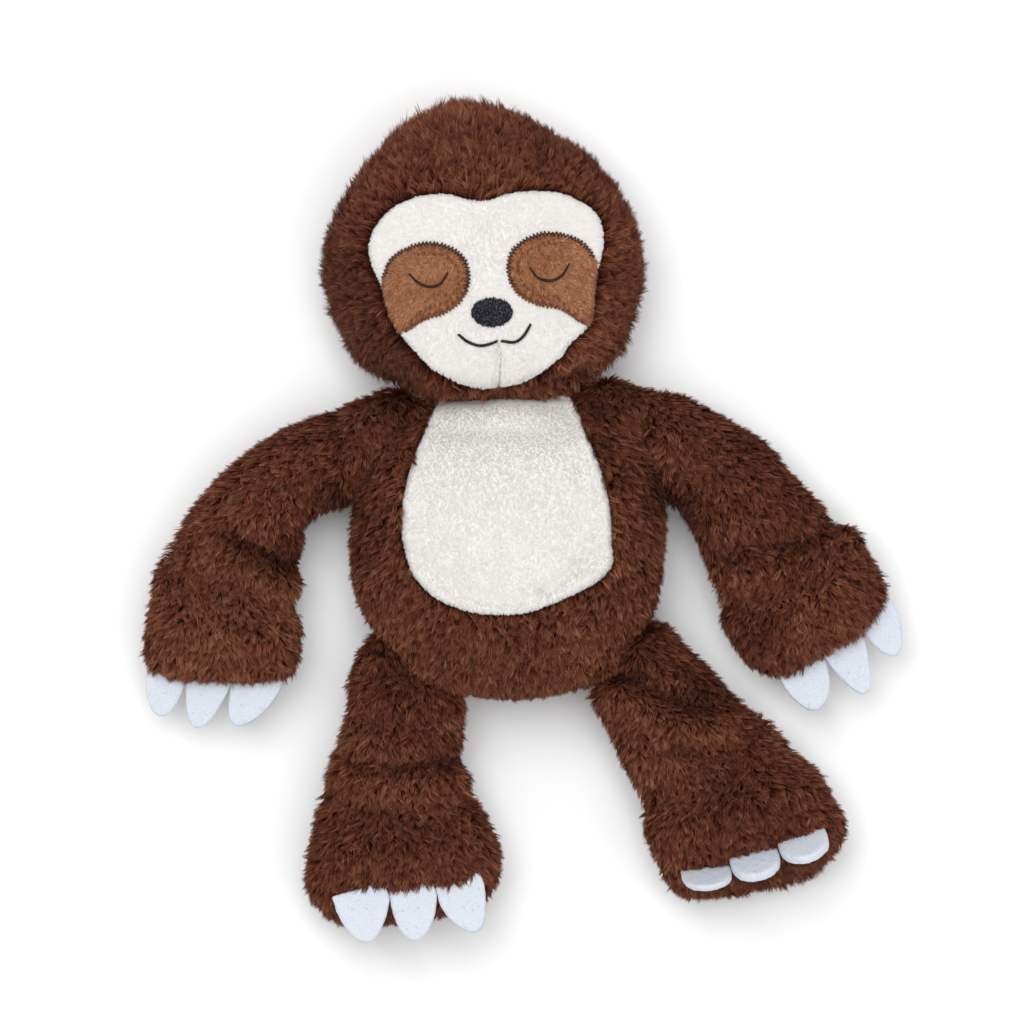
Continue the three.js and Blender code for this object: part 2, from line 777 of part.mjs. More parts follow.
// The origin lies on the surface, under the middle of the whole toy
toy.updateMatrixWorld(true);
toy.position.sub(new THREE.Box3().setFromObject(toy, true).getCenter(new THREE.Vector3())).setZ(0);

export default toy;
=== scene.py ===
"""Plush sloth lying on its back: stuffed skins of long-pile fabric with their pile as real strands,
short-pile face and belly panels, stitched eye patches, embroidered eyelids, nose and mouth, and
felt claws, all built round the packed CAD part. Lengths are metres, and tables in millimetres
say so."""
import json
import math

import bmesh
import bpy
import numpy as np
from mathutils import Matrix, Vector
from mathutils.bvhtree import BVHTree
from mathutils.kdtree import KDTree


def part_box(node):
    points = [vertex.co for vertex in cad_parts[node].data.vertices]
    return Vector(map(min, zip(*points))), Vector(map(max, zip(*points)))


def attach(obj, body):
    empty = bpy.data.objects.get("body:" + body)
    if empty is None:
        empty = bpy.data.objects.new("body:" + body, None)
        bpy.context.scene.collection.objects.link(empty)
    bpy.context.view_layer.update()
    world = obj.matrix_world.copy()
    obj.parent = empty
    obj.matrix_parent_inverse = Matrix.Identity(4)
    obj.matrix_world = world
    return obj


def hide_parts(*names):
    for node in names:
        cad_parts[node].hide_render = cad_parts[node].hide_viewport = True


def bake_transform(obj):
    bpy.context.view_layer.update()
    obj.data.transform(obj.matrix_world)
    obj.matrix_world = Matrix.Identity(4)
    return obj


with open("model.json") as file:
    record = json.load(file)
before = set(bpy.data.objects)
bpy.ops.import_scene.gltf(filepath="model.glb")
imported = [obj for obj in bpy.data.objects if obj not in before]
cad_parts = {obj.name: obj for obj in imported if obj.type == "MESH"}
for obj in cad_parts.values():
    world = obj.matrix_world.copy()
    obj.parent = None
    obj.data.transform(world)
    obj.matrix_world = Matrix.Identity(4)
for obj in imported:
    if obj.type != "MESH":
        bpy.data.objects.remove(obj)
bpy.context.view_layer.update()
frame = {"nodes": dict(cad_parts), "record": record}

bl_info = {
    "name": "Plush sloth",
    "version": (1, 0, 0),
    "blender": (4, 5, 0),
    "location": "3D View > Sidebar > Sloth",
    "description": "Dresses the packed plush sloth in pile fabric, felt and embroidery",
    "category": "Mesh",
}

MM = 0.001
UP = Vector((0, 0, 1))
JOINTS = {joint["child"]: joint for joint in frame["record"]["behaviour"]["joints"]}
NECK = Vector(JOINTS["head"]["pos_m"])
LIMBS = ["right_arm", "left_arm", "right_leg", "left_leg"]
ENDS = {"arm": ("paw", "palm"), "leg": ("foot", "sole")}  # a limb's end, and its under side
HIGH = 0.2  # above everything, where a ray starts downwards
NEAR = 0.03  # how far off another form can bury a strand; also about the forms' middle height
VOXEL = 0.0024  # mesh of the soft forms
CLOSING = 0.004  # swells each form, to close its slots, before it is drawn in
LAY_DEPTH = 1.9 * MM  # the panels lie so far under the tips of the long pile round them
FLOOR_GAP = 0.2 * MM  # no strand hangs lower than this over the floor
MOST_STRANDS = 60000  # keeps each object of pile under 200,000 triangles
# What the steps hand on: skins, panels, both as trees for rays, and the places of stitch holes
SKINS, PANELS, TREES, HOLES = {}, {}, {}, {}


def linear(code):
    """A hex sRGB colour as linear red, green, blue and alpha"""
    parts = [(code >> shift & 255) / 255 for shift in (16, 8, 0)]
    return [p / 12.92 if p <= 0.04045 else ((p + 0.055) / 1.055) ** 2.4 for p in parts] + [1]


def colour(name, description, code):
    return bpy.props.FloatVectorProperty(
        name=name, description=description, default=linear(code),
        subtype="COLOR", size=4, min=0, max=1,
    )


def length(name, description, millimetres):
    return bpy.props.FloatProperty(
        name=name, description=description, unit="LENGTH", min=0, default=millimetres * MM
    )


def number(name, description, value):
    return bpy.props.FloatProperty(name=name, description=description, min=0, default=value)


class PileSettings(bpy.types.PropertyGroup):
    """The long pile of the covers"""

    pile: length("Pile length", "Length of a strand of the long pile", 5.8)
    width: length("Strand width", "A strand stands for a few real fibres, so that it shows", 0.34)
    lean: number("Lean", "How far the strands lean over, in degrees", 54)
    density: number("Density", "Strands on a square millimetre of cover", 5.2)
    clump: length("Clump", "Distance between neighbouring clumps", 1.25)
    depth: length("Skin depth", "How far the backing cloth lies under the tips", 4.0)
    # Folds and the light-and-shade table draw strands towards the deep colour as painted shade, and
    # towards the light one as painted light
    deep: colour("Deep colour", "The darkest strands", 0x35130A)
    middle: colour("Middle colour", "Most strands", 0x6C331E)
    light: colour("Light colour", "The lightest strands", 0xA26A4E)
    # Tip light is a painted highlight, added to each strand's colour towards its tip
    tip: colour("Tip light", "What the tips add to a strand's colour", 0x523F36)
    # Dark like the strands' roots: where it shows between the strands it is painted shade as well
    # as the cloth's own colour
    backing: colour("Backing cloth", "Knitted cloth that the pile stands on", 0x2A130C)


class PanelSettings(bpy.types.PropertyGroup):
    """The short-pile panels and patches"""

    pile: length("Pile length", "Length of a strand of the short pile", 1.3)
    density: number("Density", "Strands on a square millimetre of panel", 6)
    white: colour("White", "Face and belly panels", 0xE9E6E3)
    # Painted shade: the white strands darken towards it in the creases
    painted_crease_shade: colour("White shade", "Deep in creases", 0xA59D97)
    tan: colour("Tan", "Eye patches", 0xA6704E)
    tan_light: colour("Light tan", "Lightest strands of the patches", 0xC79672)
    # Painted shade: the tan strands darken towards it between the others and at the stitch holes;
    # it is also the dark of the patches' mottled cloth
    tan_shade: colour("Tan shade", "Between the strands", 0x6A3C24)


class ThreadSettings(bpy.types.PropertyGroup):
    """Embroidery thread"""

    thread: length("Thread", "Thickness of a stitch", 0.44)
    pitch: length("Zigzag pitch", "Distance between neighbouring teeth of the zigzag edge", 1.5)
    black: colour("Black", "Nose and mouth", 0x14141E)
    brown: colour("Brown", "Eyelids and zigzag edge", 0x2C1813)
    rust: colour("Rust", "Rows of stitches inside the zigzag", 0x693E28)


class FeltSettings(bpy.types.PropertyGroup):
    """Claws of white felt"""

    voxel: length("Voxel", "Size of the mesh that rounds a claw's cut edges", 0.6)
    felt: colour("Felt", "Pressed white felt", 0xD5DBE5)
    worn: colour("Worn felt", "Greyer flecks near the tips", 0xA9AEBB)


class StageSettings(bpy.types.PropertyGroup):
    """Floor, light and camera"""

    distance: length("Camera distance", "So far off that the toy shows without perspective", 4000)
    view: length("View", "Width of what the picture shows, at the toy", 409.6)
    paper: colour("Paper", "White paper under the toy", 0xFDFDFD)


GROUPS = {
    "sloth_pile": PileSettings,
    "sloth_panel": PanelSettings,
    "sloth_thread": ThreadSettings,
    "sloth_felt": FeltSettings,
    "sloth_stage": StageSettings,
}


# Places, meshes and modifiers


def spot(across, up, height=0.0):
    """A place given in millimetres from the neck's fold"""
    return NECK + Vector((across, up, height - NECK.z / MM)) * MM


def trail(points):
    """A drawn line in millimetres from the neck's fold, as an array of metres"""
    return np.array([spot(*point)[:2] for point in points])


def distance_to(points, line):
    """Distance of each point to a line of several stretches, seen from above"""
    best = np.full(len(points), np.inf)
    for start, end in zip(line[:-1], line[1:]):
        run = end - start
        past = points[:, :2] - start
        share = np.clip(past @ run / (run @ run), 0, 1)
        best = np.minimum(best, np.linalg.norm(past - share[:, None] * run, axis=1))
    return best


def waves(points, size, seed):
    """A smooth random field from about -1 to 1 whose features are of one size"""
    count = 7
    rng = np.random.default_rng(seed)
    turns = rng.normal(size=(count, 3)) * (2 / size)
    shifts = rng.uniform(0, 2 * math.pi, count)
    return np.sin(points @ turns.T + shifts).sum(1) / math.sqrt(2 * count)


def select_only(*objects):
    bpy.ops.object.select_all(action="DESELECT")
    for each in objects:
        each.select_set(True)
    bpy.context.view_layer.objects.active = objects[-1]


def edit_all(piece, operator, **settings):
    """Runs an edit mode operator on the whole of a piece"""
    select_only(piece)
    bpy.ops.object.mode_set(mode="EDIT")
    bpy.ops.mesh.select_all(action="SELECT")
    operator(**settings)
    bpy.ops.object.mode_set(mode="OBJECT")


def modify(piece, kind, **settings):
    select_only(piece)
    modifier = piece.modifiers.new(kind.title(), kind)
    for key, value in settings.items():
        setattr(modifier, key, value)
    bpy.ops.object.modifier_apply(modifier=modifier.name)


def vertices_of(piece):
    points = np.empty(len(piece.data.vertices) * 3)
    piece.data.vertices.foreach_get("co", points)
    return points.reshape(-1, 3)


def normals_of(piece):
    normals = np.empty(len(piece.data.vertices) * 3)
    piece.data.vertices.foreach_get("normal", normals)
    return normals.reshape(-1, 3)


def set_vertices(piece, points):
    piece.data.vertices.foreach_set("co", points.ravel())
    piece.data.update()


def smooth_faces(piece):
    for polygon in piece.data.polygons:
        polygon.use_smooth = True


def tree_of(piece):
    bm = bmesh.new()
    bm.from_mesh(piece.data)
    tree = BVHTree.FromBMesh(bm)
    bm.free()
    return tree


def added(name, mesh):
    """A new object in the scene"""
    piece = bpy.data.objects.new(name, mesh)
    bpy.context.collection.objects.link(piece)
    return piece


def drawn(name, points, faces):
    """An object from lists of points and faces"""
    mesh = bpy.data.meshes.new(name)
    mesh.from_pydata([tuple(point) for point in points], [], faces)
    return added(name, mesh)


def triangles_object(name, points, triangles, uv):
    """An object from arrays of points and triangles, with the map that the materials read"""
    mesh = bpy.data.meshes.new(name)
    mesh.vertices.add(len(points))
    mesh.vertices.foreach_set("co", points.ravel())
    mesh.loops.add(triangles.size)
    mesh.loops.foreach_set("vertex_index", triangles.ravel())
    mesh.polygons.add(len(triangles))
    mesh.polygons.foreach_set("loop_start", np.arange(0, triangles.size, 3))
    mesh.uv_layers.new(name="OFBake").data.foreach_set("uv", uv[triangles.ravel()].ravel())
    mesh.update(calc_edges=True)
    return added(name, mesh)


def seen_from_above(tree, x, y):
    """Where a ray straight down meets a surface, or None"""
    return tree.ray_cast(Vector((x, y, HIGH)), -UP)[0]


def copied(name, *nodes):
    """Copies of CAD nodes as one object, with their loose triangles joined"""
    copies = [added(name, frame["nodes"][node].data.copy()) for node in nodes]
    select_only(*copies)
    if len(copies) > 1:
        bpy.ops.object.join()
    piece = bpy.context.view_layer.objects.active
    piece.name = name
    piece.data.materials.clear()
    edit_all(piece, bpy.ops.mesh.remove_doubles, threshold=1e-6)
    return piece


def lump(centre, half_sizes, along):
    """A rounded lump that fills a fold: its sizes are along the fold, across it and up"""
    bpy.ops.object.select_all(action="DESELECT")
    bpy.ops.mesh.primitive_uv_sphere_add(segments=32, ring_count=16, radius=1, location=(0, 0, 0))
    piece = bpy.context.object
    along = Vector(along).normalized()
    turn = Matrix((along, UP.cross(along), UP)).transposed().to_4x4()
    piece.data.transform(Matrix.Translation(centre) @ turn @ Matrix.Diagonal((*half_sizes, 1)))
    return piece


def keep_outer_shell(piece):
    """Deletes the inner shells that a remesh leaves, all but the part that reaches furthest"""
    bm = bmesh.new()
    bm.from_mesh(piece.data)
    left = set(bm.verts)
    parts = []
    while left:
        stack = [left.pop()]
        part = set(stack)
        while stack:
            for edge in stack.pop().link_edges:
                for vert in edge.verts:
                    if vert in left:
                        left.discard(vert)
                        part.add(vert)
                        stack.append(vert)
        parts.append(part)
    outer = max(parts, key=lambda part: max(v.co.x for v in part) - min(v.co.x for v in part))
    inner = [vert for part in parts if part is not outer for vert in part]
    bmesh.ops.delete(bm, geom=inner, context="VERTS")
    bm.to_mesh(piece.data)
    bm.free()


def outer_form(name, nodes, lumps=()):
    """One closed form round CAD nodes, swollen so that the slots and seams between them close"""
    piece = copied(name, *nodes)
    if lumps:
        select_only(*lumps, piece)
        bpy.ops.object.join()
    modify(piece, "REMESH", mode="VOXEL", voxel_size=VOXEL)
    modify(piece, "DISPLACE", strength=CLOSING, mid_level=0)
    modify(piece, "REMESH", mode="VOXEL", voxel_size=VOXEL)
    keep_outer_shell(piece)
    modify(piece, "SMOOTH", factor=0.5, iterations=12)
    return piece


def sunk(piece, depth):
    """Draws a swollen form in to so far under the CAD's surface"""
    modify(piece, "DISPLACE", strength=-CLOSING - depth, mid_level=0)
    modify(piece, "SMOOTH", factor=0.5, iterations=6)
    modify(piece, "REMESH", mode="VOXEL", voxel_size=VOXEL)
    keep_outer_shell(piece)
    modify(piece, "SMOOTH", factor=0.5, iterations=4)
    smooth_faces(piece)


def pinch(piece, folds):
    """Draws the form in along folds: each a line, a width and a depth in millimetres"""
    points, normals = vertices_of(piece), normals_of(piece)
    for line, width, depth in folds:
        share = np.exp(-((distance_to(points, trail(line)) / (width * MM)) ** 2))
        share *= np.clip(normals[:, 2] * 2 + 0.5, 0, 1)
        points = points - normals * (share * depth * MM)[:, None]
    set_vertices(piece, points)


def nearness(points, place, reach):
    """How near points are to a place, seen from above: 1 at it, and falling off over the reach"""
    away = np.linalg.norm(points[:, :2] - np.array(spot(*place)[:2]), axis=1) / (reach * MM)
    return np.exp(-(away**2))


def nudged(points, table):
    """Moves points sideways round a table's places, as a hand would; a fourth value keeps a move
    to what lies under that height"""
    points = points.copy()
    for place, shift, reach, *top in table:
        share = nearness(points, place, reach)
        if top:
            share *= np.clip((top[0] * MM - points[:, 2]) / (8 * MM) + 0.5, 0, 1)
        points[:, :2] += share[:, None] * np.array(shift) * MM
    return points


def grab(piece, table):
    set_vertices(piece, nudged(vertices_of(piece), table))


# Materials


def add_node(tree, kind, settings=None, links=None, stops=()):
    """Adds a node: settings are its properties or, by socket, values; links are the outputs that
    feed its sockets; stops are the places and colours of a ramp"""
    node = tree.nodes.new(kind)
    for key, value in (settings or {}).items():
        if isinstance(key, str) and hasattr(node, key):
            setattr(node, key, value)
        else:
            node.inputs[key].default_value = value
    for key, socket in (links or {}).items():
        tree.links.new(socket, node.inputs[key])
    if stops:
        elements = node.color_ramp.elements
        while len(elements) < len(stops):
            elements.new(0.5)
        for element, (place, shade) in zip(elements, stops):
            element.position, element.color = place, shade
    return node


def new_material(name, finish):
    """A material whose shader's own sockets hold the finish"""
    material = bpy.data.materials.new(name)
    material.use_nodes = True
    shader = material.node_tree.nodes["Principled BSDF"]
    for key, value in finish.items():
        shader.inputs[key].default_value = value
    return material, material.node_tree, shader


def finished(tree, shader, colours, pattern, strength, depth):
    """Gives a shader its colours, and a relief of so many millimetres that follows a pattern"""
    settings = {"Strength": strength, "Distance": depth * MM}
    bump = add_node(tree, "ShaderNodeBump", settings, {"Height": pattern.outputs["Fac"]})
    tree.links.new(colours, shader.inputs["Base Color"])
    tree.links.new(bump.outputs["Normal"], shader.inputs["Normal"])


# A Mix node's sockets for colours: its factor, its two colours, and the output
FACTOR, FIRST, SECOND, MIXED = 0, 6, 7, 2


def strand_material(name, root, tones, tip, finish):
    """Pile: each strand's tone lies along the map's first axis, and its length along the second"""
    material, tree, shader = new_material(name, finish)
    uv = add_node(tree, "ShaderNodeUVMap", {"uv_map": "OFBake"})
    parts = add_node(tree, "ShaderNodeSeparateXYZ", links={"Vector": uv.outputs["UV"]})
    # Along a strand's length, one ramp darkens it towards its root as painted shade, and the other
    # adds a painted highlight towards its tip
    tone, dark, light = (
        add_node(
            tree, "ShaderNodeValToRGB", links={"Fac": parts.outputs[axis]}, stops=stops
        ).outputs["Color"]
        for axis, stops in (("X", tones), ("Y", root), ("Y", tip))
    )
    colours = tone
    for kind, other in (("MULTIPLY", dark), ("ADD", light)):
        settings = {"data_type": "RGBA", "blend_type": kind, FACTOR: 1.0}
        mix = add_node(tree, "ShaderNodeMix", settings, {FIRST: colours, SECOND: other})
        colours = mix.outputs[MIXED]
    tree.links.new(colours, shader.inputs["Base Color"])
    return material


def grey(value):
    return [value, value, value, 1]


def long_pile():
    """Polyester faux fur: soft satin fibres; painted shade darkens each strand towards its root
    between the clumps, and a painted highlight makes the tips paler
    """
    pile = bpy.context.scene.sloth_pile
    return strand_material(
        "polyester_long_pile",
        # Painted shade: each strand darker towards its root, where the clumps shade it
        [(0, grey(0.2)), (0.3, grey(0.5)), (0.65, grey(0.92)), (1, grey(1))],
        [(0, pile.deep), (0.5, pile.middle), (1, pile.light)],
        # Painted highlight: the tip colour added towards each strand's tip
        [(0, grey(0)), (0.62, grey(0)), (1, pile.tip)],
        {"Roughness": 0.8, "Specular IOR Level": 0.12},
    )


def short_pile(name, shade, tone, light):
    """Sheared polyester pile: matt, with a little shade between the strands"""
    return strand_material(
        name,
        # Painted shade: each strand a little darker towards its root
        [(0, grey(0.92)), (0.5, grey(0.98)), (1, grey(1))],
        [(0, shade), (0.45, tone), (1, light)],
        [(0, grey(0)), (1, grey(0))],
        {"Roughness": 0.85, "Specular IOR Level": 0.2, "Sheen Weight": 0.15},
    )


def cloth(name, tone, shade, grain, height):
    """Knitted backing of a pile fabric: matt and softly mottled, with a fine grain of stitches;
    grain and height are in millimetres"""
    material, tree, shader = new_material(name, {"Roughness": 0.95, "Specular IOR Level": 0.15})
    place = {"Vector": add_node(tree, "ShaderNodeTexCoord").outputs["Object"]}
    fine = add_node(tree, "ShaderNodeTexNoise", {"Scale": 1 / (grain * MM), "Detail": 3}, place)
    broad = add_node(tree, "ShaderNodeTexNoise", {"Scale": 1 / (14 * MM), "Detail": 2}, place)
    both = add_node(
        tree, "ShaderNodeMix",
        {"data_type": "RGBA", "blend_type": "MULTIPLY", FACTOR: 0.35},
        {FIRST: fine.outputs["Fac"], SECOND: broad.outputs["Fac"]},
    )
    mottled = add_node(
        tree, "ShaderNodeValToRGB",
        links={"Fac": both.outputs[MIXED]}, stops=[(0.25, shade), (0.55, tone)],
    )
    finished(tree, shader, mottled.outputs["Color"], fine, 0.5, height)
    return material


def thread_material(name, tone, shine=0.01):
    """Rayon embroidery thread: a silky shine on each stitch, with twisted plies 0.25 mm
    apart, drawn coarser so that they show; their darker and lighter flecks are painted shade and
    painted glints"""
    finish = {"Roughness": 0.6, "Specular IOR Level": 0.2}
    material, tree, shader = new_material(name, finish)
    place = {"Vector": add_node(tree, "ShaderNodeTexCoord").outputs["Object"]}
    plies = add_node(tree, "ShaderNodeTexNoise", {"Scale": 1 / (0.7 * MM), "Detail": 3}, place)
    # Painted shade in the plies' darker flecks, and painted glints, raised by the shine, in their
    # lighter ones
    darker = [value * 0.6 for value in tone[:3]] + [1]
    lighter = [min(1, value * 2 + shine) for value in tone[:3]] + [1]
    shades = add_node(
        tree, "ShaderNodeValToRGB",
        links={"Fac": plies.outputs["Fac"]},
        stops=[(0.3, darker), (0.52, tone[:]), (0.66, lighter)],
    )
    finished(tree, shader, shades.outputs["Color"], plies, 0.4, 0.1)
    return material


# Pile


def sampled(piece, density, rng):
    """Random roots over a mesh, evenly by area, with their smooth normals"""
    mesh = piece.data
    mesh.calc_loop_triangles()
    corners = np.empty(len(mesh.loop_triangles) * 3, int)
    mesh.loop_triangles.foreach_get("vertices", corners)
    corners = corners.reshape(-1, 3)
    points, normals = vertices_of(piece), normals_of(piece)
    a, b, c = (points[corners[:, i]] for i in range(3))
    areas = np.linalg.norm(np.cross(b - a, c - a), axis=1) / 2
    count = int(areas.sum() / MM**2 * density)
    picked = corners[rng.choice(len(corners), count, p=areas / areas.sum())]
    first, second = rng.random(count), rng.random(count)
    over = first + second > 1
    first[over], second[over] = 1 - first[over], 1 - second[over]
    shares = np.stack([1 - first - second, first, second], 1)[:, :, None]
    roots = (points[picked] * shares).sum(1)
    facing = (normals[picked] * shares).sum(1)
    return roots, facing / np.linalg.norm(facing, axis=1)[:, None]


def spread(places):
    """Flat ways as arrays of three, with no rise"""
    return np.pad(places, ((0, 0), (0, 1)))


def unit(vectors):
    return vectors / np.maximum(np.linalg.norm(vectors, axis=1), 1e-9)[:, None]


def kept(roots, normals, buried_in, depth, covered_by):
    """Which roots are seen: not inside another form, and not under a panel"""
    keep = np.ones(len(roots), bool)
    for i, root in enumerate(roots):
        place = Vector(root)
        for tree in buried_in:
            near, normal = tree.find_nearest(place, NEAR)[:2]
            if near is not None and (place - near).dot(normal) < -depth:
                keep[i] = False
                break
        if keep[i] and normals[i, 2] > -0.3:
            keep[i] = all(seen_from_above(tree, *root[:2]) is None for tree in covered_by)
    return keep


def slanted(ways, flow, normals, least):
    """Turns strands that would stand straight up from the floor to slant at least so much"""
    flat = unit(flow[:, :2] + 1e-9)
    short = np.clip(least - (ways[:, :2] * flat).sum(1), 0, 1) * np.clip(normals[:, 2] * 1.6, 0, 1)
    ways = ways.copy()
    ways[:, :2] += flat * short[:, None]
    return unit(ways)


# How strands stand. Strands in a clump share a lean, a turn, a curl and a tone; "gather" draws
# their tips together, and "slant" is the least share by which they lie along the flow. Leans are
# in degrees, turns in radians, and tones are shares of the colour ramp.
SHORT_FORM = {
    "width": 0.58 * MM, "lean": 79, "lean_spread": 1.5, "in_clump": 6, "swirl": 0.4,
    "swirl_size": 7 * MM, "clump_turn": 0.3, "turn": 0.15, "gather": 0.3, "sink": 0.15 * MM,
    "roll": 0.03, "segments": 1, "seed": 5, "clump_tone": 0.03, "tone": 0.04, "slant_low": 0.3,
    "slant": 0.6, "curl": 0,
}
TAN_FORM = {
    **SHORT_FORM, "width": 0.34 * MM, "lean": 64, "lean_spread": 7, "roll": 0.16,
    "clump_tone": 0.13, "tone": 0.15,
}
LONG_FORM = {
    "lean_spread": 12, "swirl": 0.35, "swirl_size": 12 * MM, "clump_turn": 0.3, "turn": 0.25,
    "gather": 0.5, "sink": 0.5 * MM, "roll": 0.6, "segments": 2, "clump_tone": 0.16, "tone": 0.15,
    "slant_low": 0.2, "slant": 0.5, "curl": 0.5,
}


def strands(roots, normals, flow, tones, scales, form, rng):
    """Pile as tapered ribbons that lean with the flow and lean together in clumps: their points,
    the faces of one and their maps"""
    count = len(roots)
    centres = rng.permutation(count)[: max(1, int(count / form["in_clump"]))]
    tree = KDTree(len(centres))
    for i, centre in enumerate(centres):
        tree.insert(roots[centre], i)
    tree.balance()
    clump = np.array([tree.find(root)[1] for root in roots])
    lead = centres[clump]

    def for_each(share):
        """How strands differ"""
        return share * rng.normal(size=count)

    def for_clumps(share):
        """How clumps differ, for the strands in them"""
        return (share * rng.normal(size=len(centres)))[clump]

    along = flow - (flow * normals).sum(1)[:, None] * normals
    along = unit(along + 0.02 * rng.normal(size=(count, 3)))
    across = np.cross(normals, along)
    turn = form["swirl"] * waves(roots, form["swirl_size"], form["seed"])
    turn += for_clumps(form["clump_turn"]) + for_each(form["turn"])
    lean = form["lean"] + for_each(0.3 * form["lean_spread"])
    lean += for_clumps(form["lean_spread"])
    lean = np.radians(np.clip(lean, 8, 84))
    heading = along * np.cos(turn)[:, None] + across * np.sin(turn)[:, None]
    turn += for_clumps(form["curl"])
    curled = along * np.cos(turn)[:, None] + across * np.sin(turn)[:, None]
    size = form["pile"] * (1 + for_each(0.1) + for_clumps(0.1))
    size = size * scales
    # A strand's lower part has 0.55 of the lean of its upper part, which is the longer one
    low = normals * np.cos(lean * 0.55)[:, None] + heading * np.sin(lean * 0.55)[:, None]
    high = normals * np.cos(lean)[:, None] + curled * np.sin(lean)[:, None]
    low = slanted(low, flow, normals, form["slant_low"])
    high = slanted(high, flow, normals, form["slant"])
    middle = roots + low * (size * 0.45)[:, None]
    tip = roots + low * (size * 0.35)[:, None] + high * (size * 0.65)[:, None]
    gather = form["gather"]
    tip = tip * (1 - gather) + (tip[lead] + 0.35 * (roots - roots[lead])) * gather
    middle = (
        middle * (1 - gather * 0.3)
        + (middle[lead] + 0.8 * (roots - roots[lead])) * gather * 0.3
    )
    roots = roots - normals * form["sink"]
    run = unit(tip - roots)
    side = unit(np.cross(run, normals) + 1e-6)
    up = np.cross(side, run)
    roll = for_each(form["roll"])
    side = side * np.cos(roll)[:, None] + up * np.sin(roll)[:, None]
    reach = side * form["width"] * (1 + for_each(0.2))[:, None] / 2
    if form["segments"] == 2:
        points = np.stack([roots - reach, roots + reach, middle - reach, middle + reach, tip], 1)
        faces = np.array([[0, 1, 2], [1, 3, 2], [2, 3, 4]])
        spans = np.array([[-1, 0], [1, 0], [-1, 0.5], [1, 0.5], [0, 1]])
    else:
        points = np.stack([roots - reach, roots + reach, tip], 1)
        faces = np.array([[0, 1, 2]])
        spans = np.array([[-1, 0], [1, 0], [0, 1]])
    tone = tones + for_clumps(form["clump_tone"])
    tone = np.clip(tone + for_each(form["tone"]), 0.02, 0.98)
    uv = np.empty((count, len(spans), 2))
    uv[:, :, 0] = tone[:, None] + 0.006 * spans[None, :, 0]
    uv[:, :, 1] = 0.01 + 0.98 * spans[None, :, 1]
    return points, faces, uv


def strand_object(name, points, faces, uv, material):
    """An object of strands, from each strand's points and map"""
    count, corners = points.shape[:2]
    triangles = (faces[None] + (np.arange(count) * corners)[:, None, None]).reshape(-1, 3)
    piece = triangles_object(name, points.reshape(-1, 3), triangles, uv.reshape(-1, 2))
    piece.data.materials.append(material)
    return piece


def joint_place(body):
    joint = JOINTS[body]
    return Vector(joint["pos_m"]), Vector(joint["axis"]).normalized()


def limb_heading(body, part):
    """From a joint's line towards the limb beyond it, square to that line"""
    place, axis = joint_place(body)
    low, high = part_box(part)
    out = (low + high) / 2 - place
    out.z = 0
    return (out - out.dot(axis) * axis).normalized()


# The folds that the photograph shows in the covers, in millimetres from the neck's fold: a line,
# its width and its depth, which is negative on the ridge beside it
FOLDS = {
    "right_arm": [
        ([(-74, -76), (-84, -73), (-93, -69), (-103, -63)], 4.5, 6.5),
        ([(-75, -86), (-85, -83), (-95, -78)], 4, -2.2),
        ([(-70, -66), (-76, -60)], 5, 2.5),
        ([(-75, -97), (-84, -93), (-92, -87)], 3, 2.2),
        ([(-60, -20), (-58, -32), (-58, -46)], 4, 2),
    ],
    "left_arm": [
        ([(92, -70.5), (100, -67), (113, -67.5), (126, -63.5), (138, -55.5)], 4, 4.2),
        ([(94, -79), (106, -76), (116, -76), (130, -72), (143, -65)], 4.5, -2),
        ([(60, -34), (67, -46), (74, -58)], 5, 4),
    ],
    "right_leg": [
        ([(-54, -154), (-37, -154.5), (-23, -153.5), (-10, -152)], 4.5, 5.5),
        ([(-54, -163), (-37, -163.5), (-23, -162.5), (-10, -161)], 5, -2),
        ([(-47, -136), (-36, -138), (-25, -136)], 4, 2),
    ],
    "left_leg": [
        ([(40, -118), (50, -118), (58, -121), (64, -126), (74, -130), (88, -131)], 5, 7),
        ([(44, -127), (54, -128), (61, -132), (72, -138), (88, -140)], 4.5, -3),
        ([(60, -148), (72, -146), (84, -150)], 4, 2),
    ],
    "torso": [
        ([(-62, -92), (-50, -104), (-38, -112)], 5, 2),
        ([(70, -90), (60, -102), (46, -112)], 5, 2),
    ],
    "head": [([(-40, 1), (-20, -6), (0, -8), (20, -6), (40, 0)], 3.5, 2)],
    "neck": [],
}
# Where the filling pushes a form out beyond the CAD's, in millimetres: a place from the neck's fold
# and half sizes across, up and in height
FILLS = {
    "right_leg": [(-44, -108, 8, 9, 14)],
    "torso": [
        (-53, -21, 14, 14, 16), (-40, -9.5, 9, 8, 15), (45, -8.5, 13, 11, 14),
        (60, -12.5, 12, 10, 14), (3, -19, 36, 15, 22),
    ],
}
